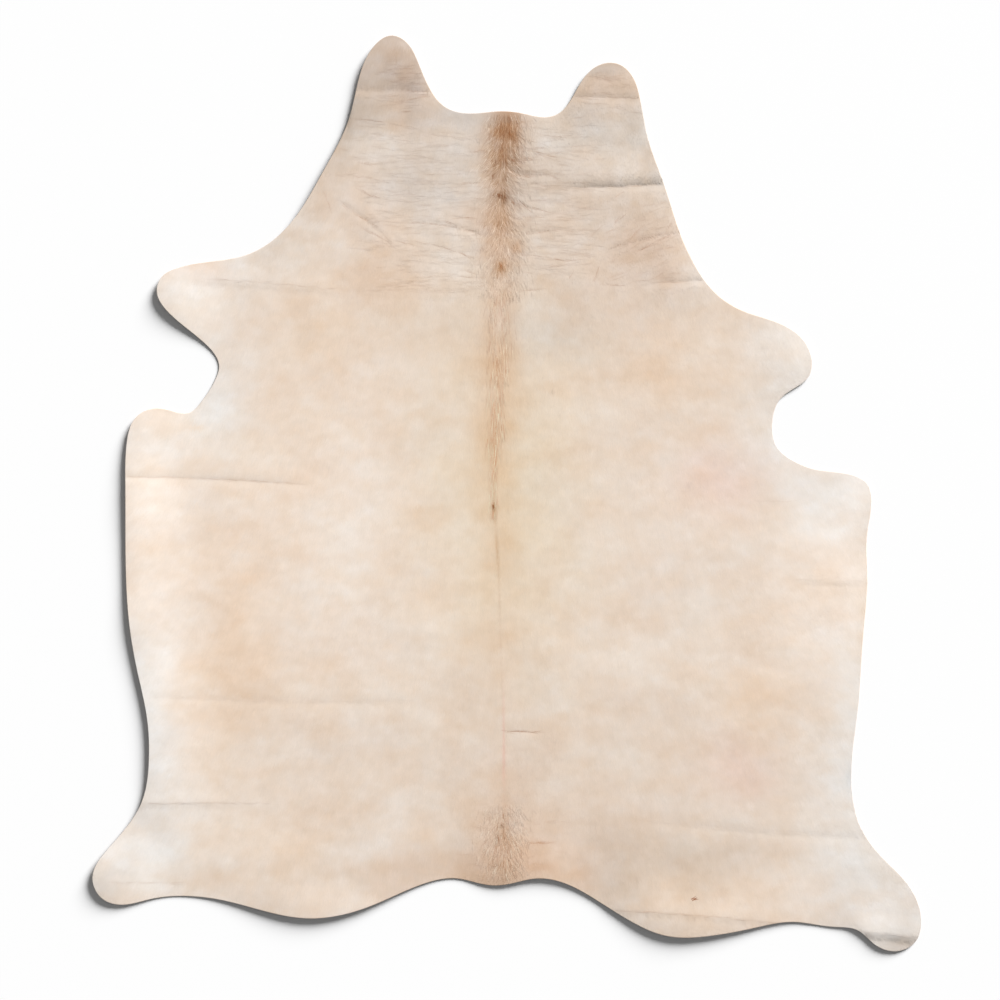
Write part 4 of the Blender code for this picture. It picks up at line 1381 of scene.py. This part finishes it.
def coat_material(name, on_locks):
    """Hair whose colour is stored in the mesh, with fine strands along each lock or down the hide."""
    material = make_material(name, HAIR_ROUGHNESS, HAIR_SPECULAR)
    nodes, links = material.node_tree.nodes, material.node_tree.links
    spot = "UVMap" if on_locks else "TexCoord"
    kinds = ("Attribute", spot, "Mapping", "TexNoise", "MapRange", "VectorMath")
    stored, place, drawn_out, strands, shade, shaded = (nodes.new("ShaderNode" + kind) for kind in kinds)
    stored.attribute_name = "coat"
    if on_locks:
        place.uv_map = "OFBake"
    shaded.operation = "SCALE"
    set_inputs(drawn_out, {"Scale": STRANDS_ON_LOCKS if on_locks else STRANDS_IN_PLACE})
    set_inputs(strands, {"Scale": 1.0, "Detail": 1.0})
    set_inputs(shade, dict(zip(("From Min", "From Max"), STRAND_NOISE)))
    set_inputs(shade, {"To Min": 1.0 - STRAND_CONTRAST, "To Max": 1.0 + STRAND_CONTRAST})
    links.new(place.outputs["UV" if on_locks else "Object"], drawn_out.inputs["Vector"])
    links.new(drawn_out.outputs["Vector"], strands.inputs["Vector"])
    links.new(strands.outputs["Fac"], shade.inputs["Value"])
    links.new(stored.outputs["Color"], shaded.inputs["Vector"])
    links.new(shade.outputs["Result"], shaded.inputs["Scale"])
    links.new(shaded.outputs["Vector"], shader_of(material).inputs["Base Color"])
    return material


def plain_material(name, colour, roughness):
    """A material of one colour."""
    material = make_material(name, roughness, PLAIN_SPECULAR)
    set_inputs(shader_of(material), {"Base Color": (*colour, 1.0)})
    return material


def make_floor():
    """A plain pale floor just below the hide."""
    mesh = bpy.data.meshes.new("floor")
    half = FLOOR_HALF
    corners = [(x, y, FLOOR_LEVEL) for x, y in ((-half, -half), (half, -half), (half, half), (-half, half))]
    mesh.from_pydata(corners, [], [(0, 1, 2, 3)])
    floor = add_object("floor", mesh)
    mesh.materials.append(plain_material("pale_floor", *PALE_FLOOR))


def make_light():
    """Light from all round, and a wide sun from the upper right."""
    world = bpy.data.worlds.new("studio")
    bpy.context.scene.world = world
    world.use_nodes = True
    backdrop = world.node_tree.nodes["Background"]
    set_inputs(backdrop, {"Color": (1.0, 1.0, 1.0, 1.0), "Strength": ALL_ROUND_LIGHT})

    key = bpy.data.lights.new("key", "SUN")
    key.energy = SUN_STRENGTH
    key.angle = math.radians(SUN_WIDTH)
    lamp = add_object("key", key)
    elevation, way = math.radians(SUN_ELEVATION), math.radians(SUN_WAY)
    level = math.cos(elevation)
    toward = Vector((level * math.cos(way), level * math.sin(way), math.sin(elevation)))
    lamp.rotation_euler = toward.to_track_quat("Z", "Y").to_euler()


def make_camera():
    """The camera straight above the hide."""
    lens = bpy.data.cameras.new("camera")
    lens.lens = LENS
    lens.sensor_width = SENSOR_WIDTH
    view = add_object("camera", lens)
    view.location = CAMERA_PLACE
    bpy.context.scene.camera = view
    bpy.context.scene.view_settings.view_transform = "Standard"


def main():
    """Builds the hide's pieces, then the stage round them."""
    hide = Hide()
    coat = Coat(hide)
    hair = coat_material("cream_hair", True)
    undercoat = coat_material("undercoat", False)
    cut = plain_material("cut_edge_painted_shade", *SHADED_CUT_EDGE)
    suede = plain_material("suede", *SUEDE)
    leather = make_leather(hide, coat, (undercoat, cut, suede))
    locks = make_coat(hide, coat, hair)
    tufts = make_long_hair(hide, coat, hair)
    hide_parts("cowhide")
    for piece in (leather, *locks, *tufts):
        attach(piece, "root")
    make_floor()
    make_light()
    make_camera()


main()
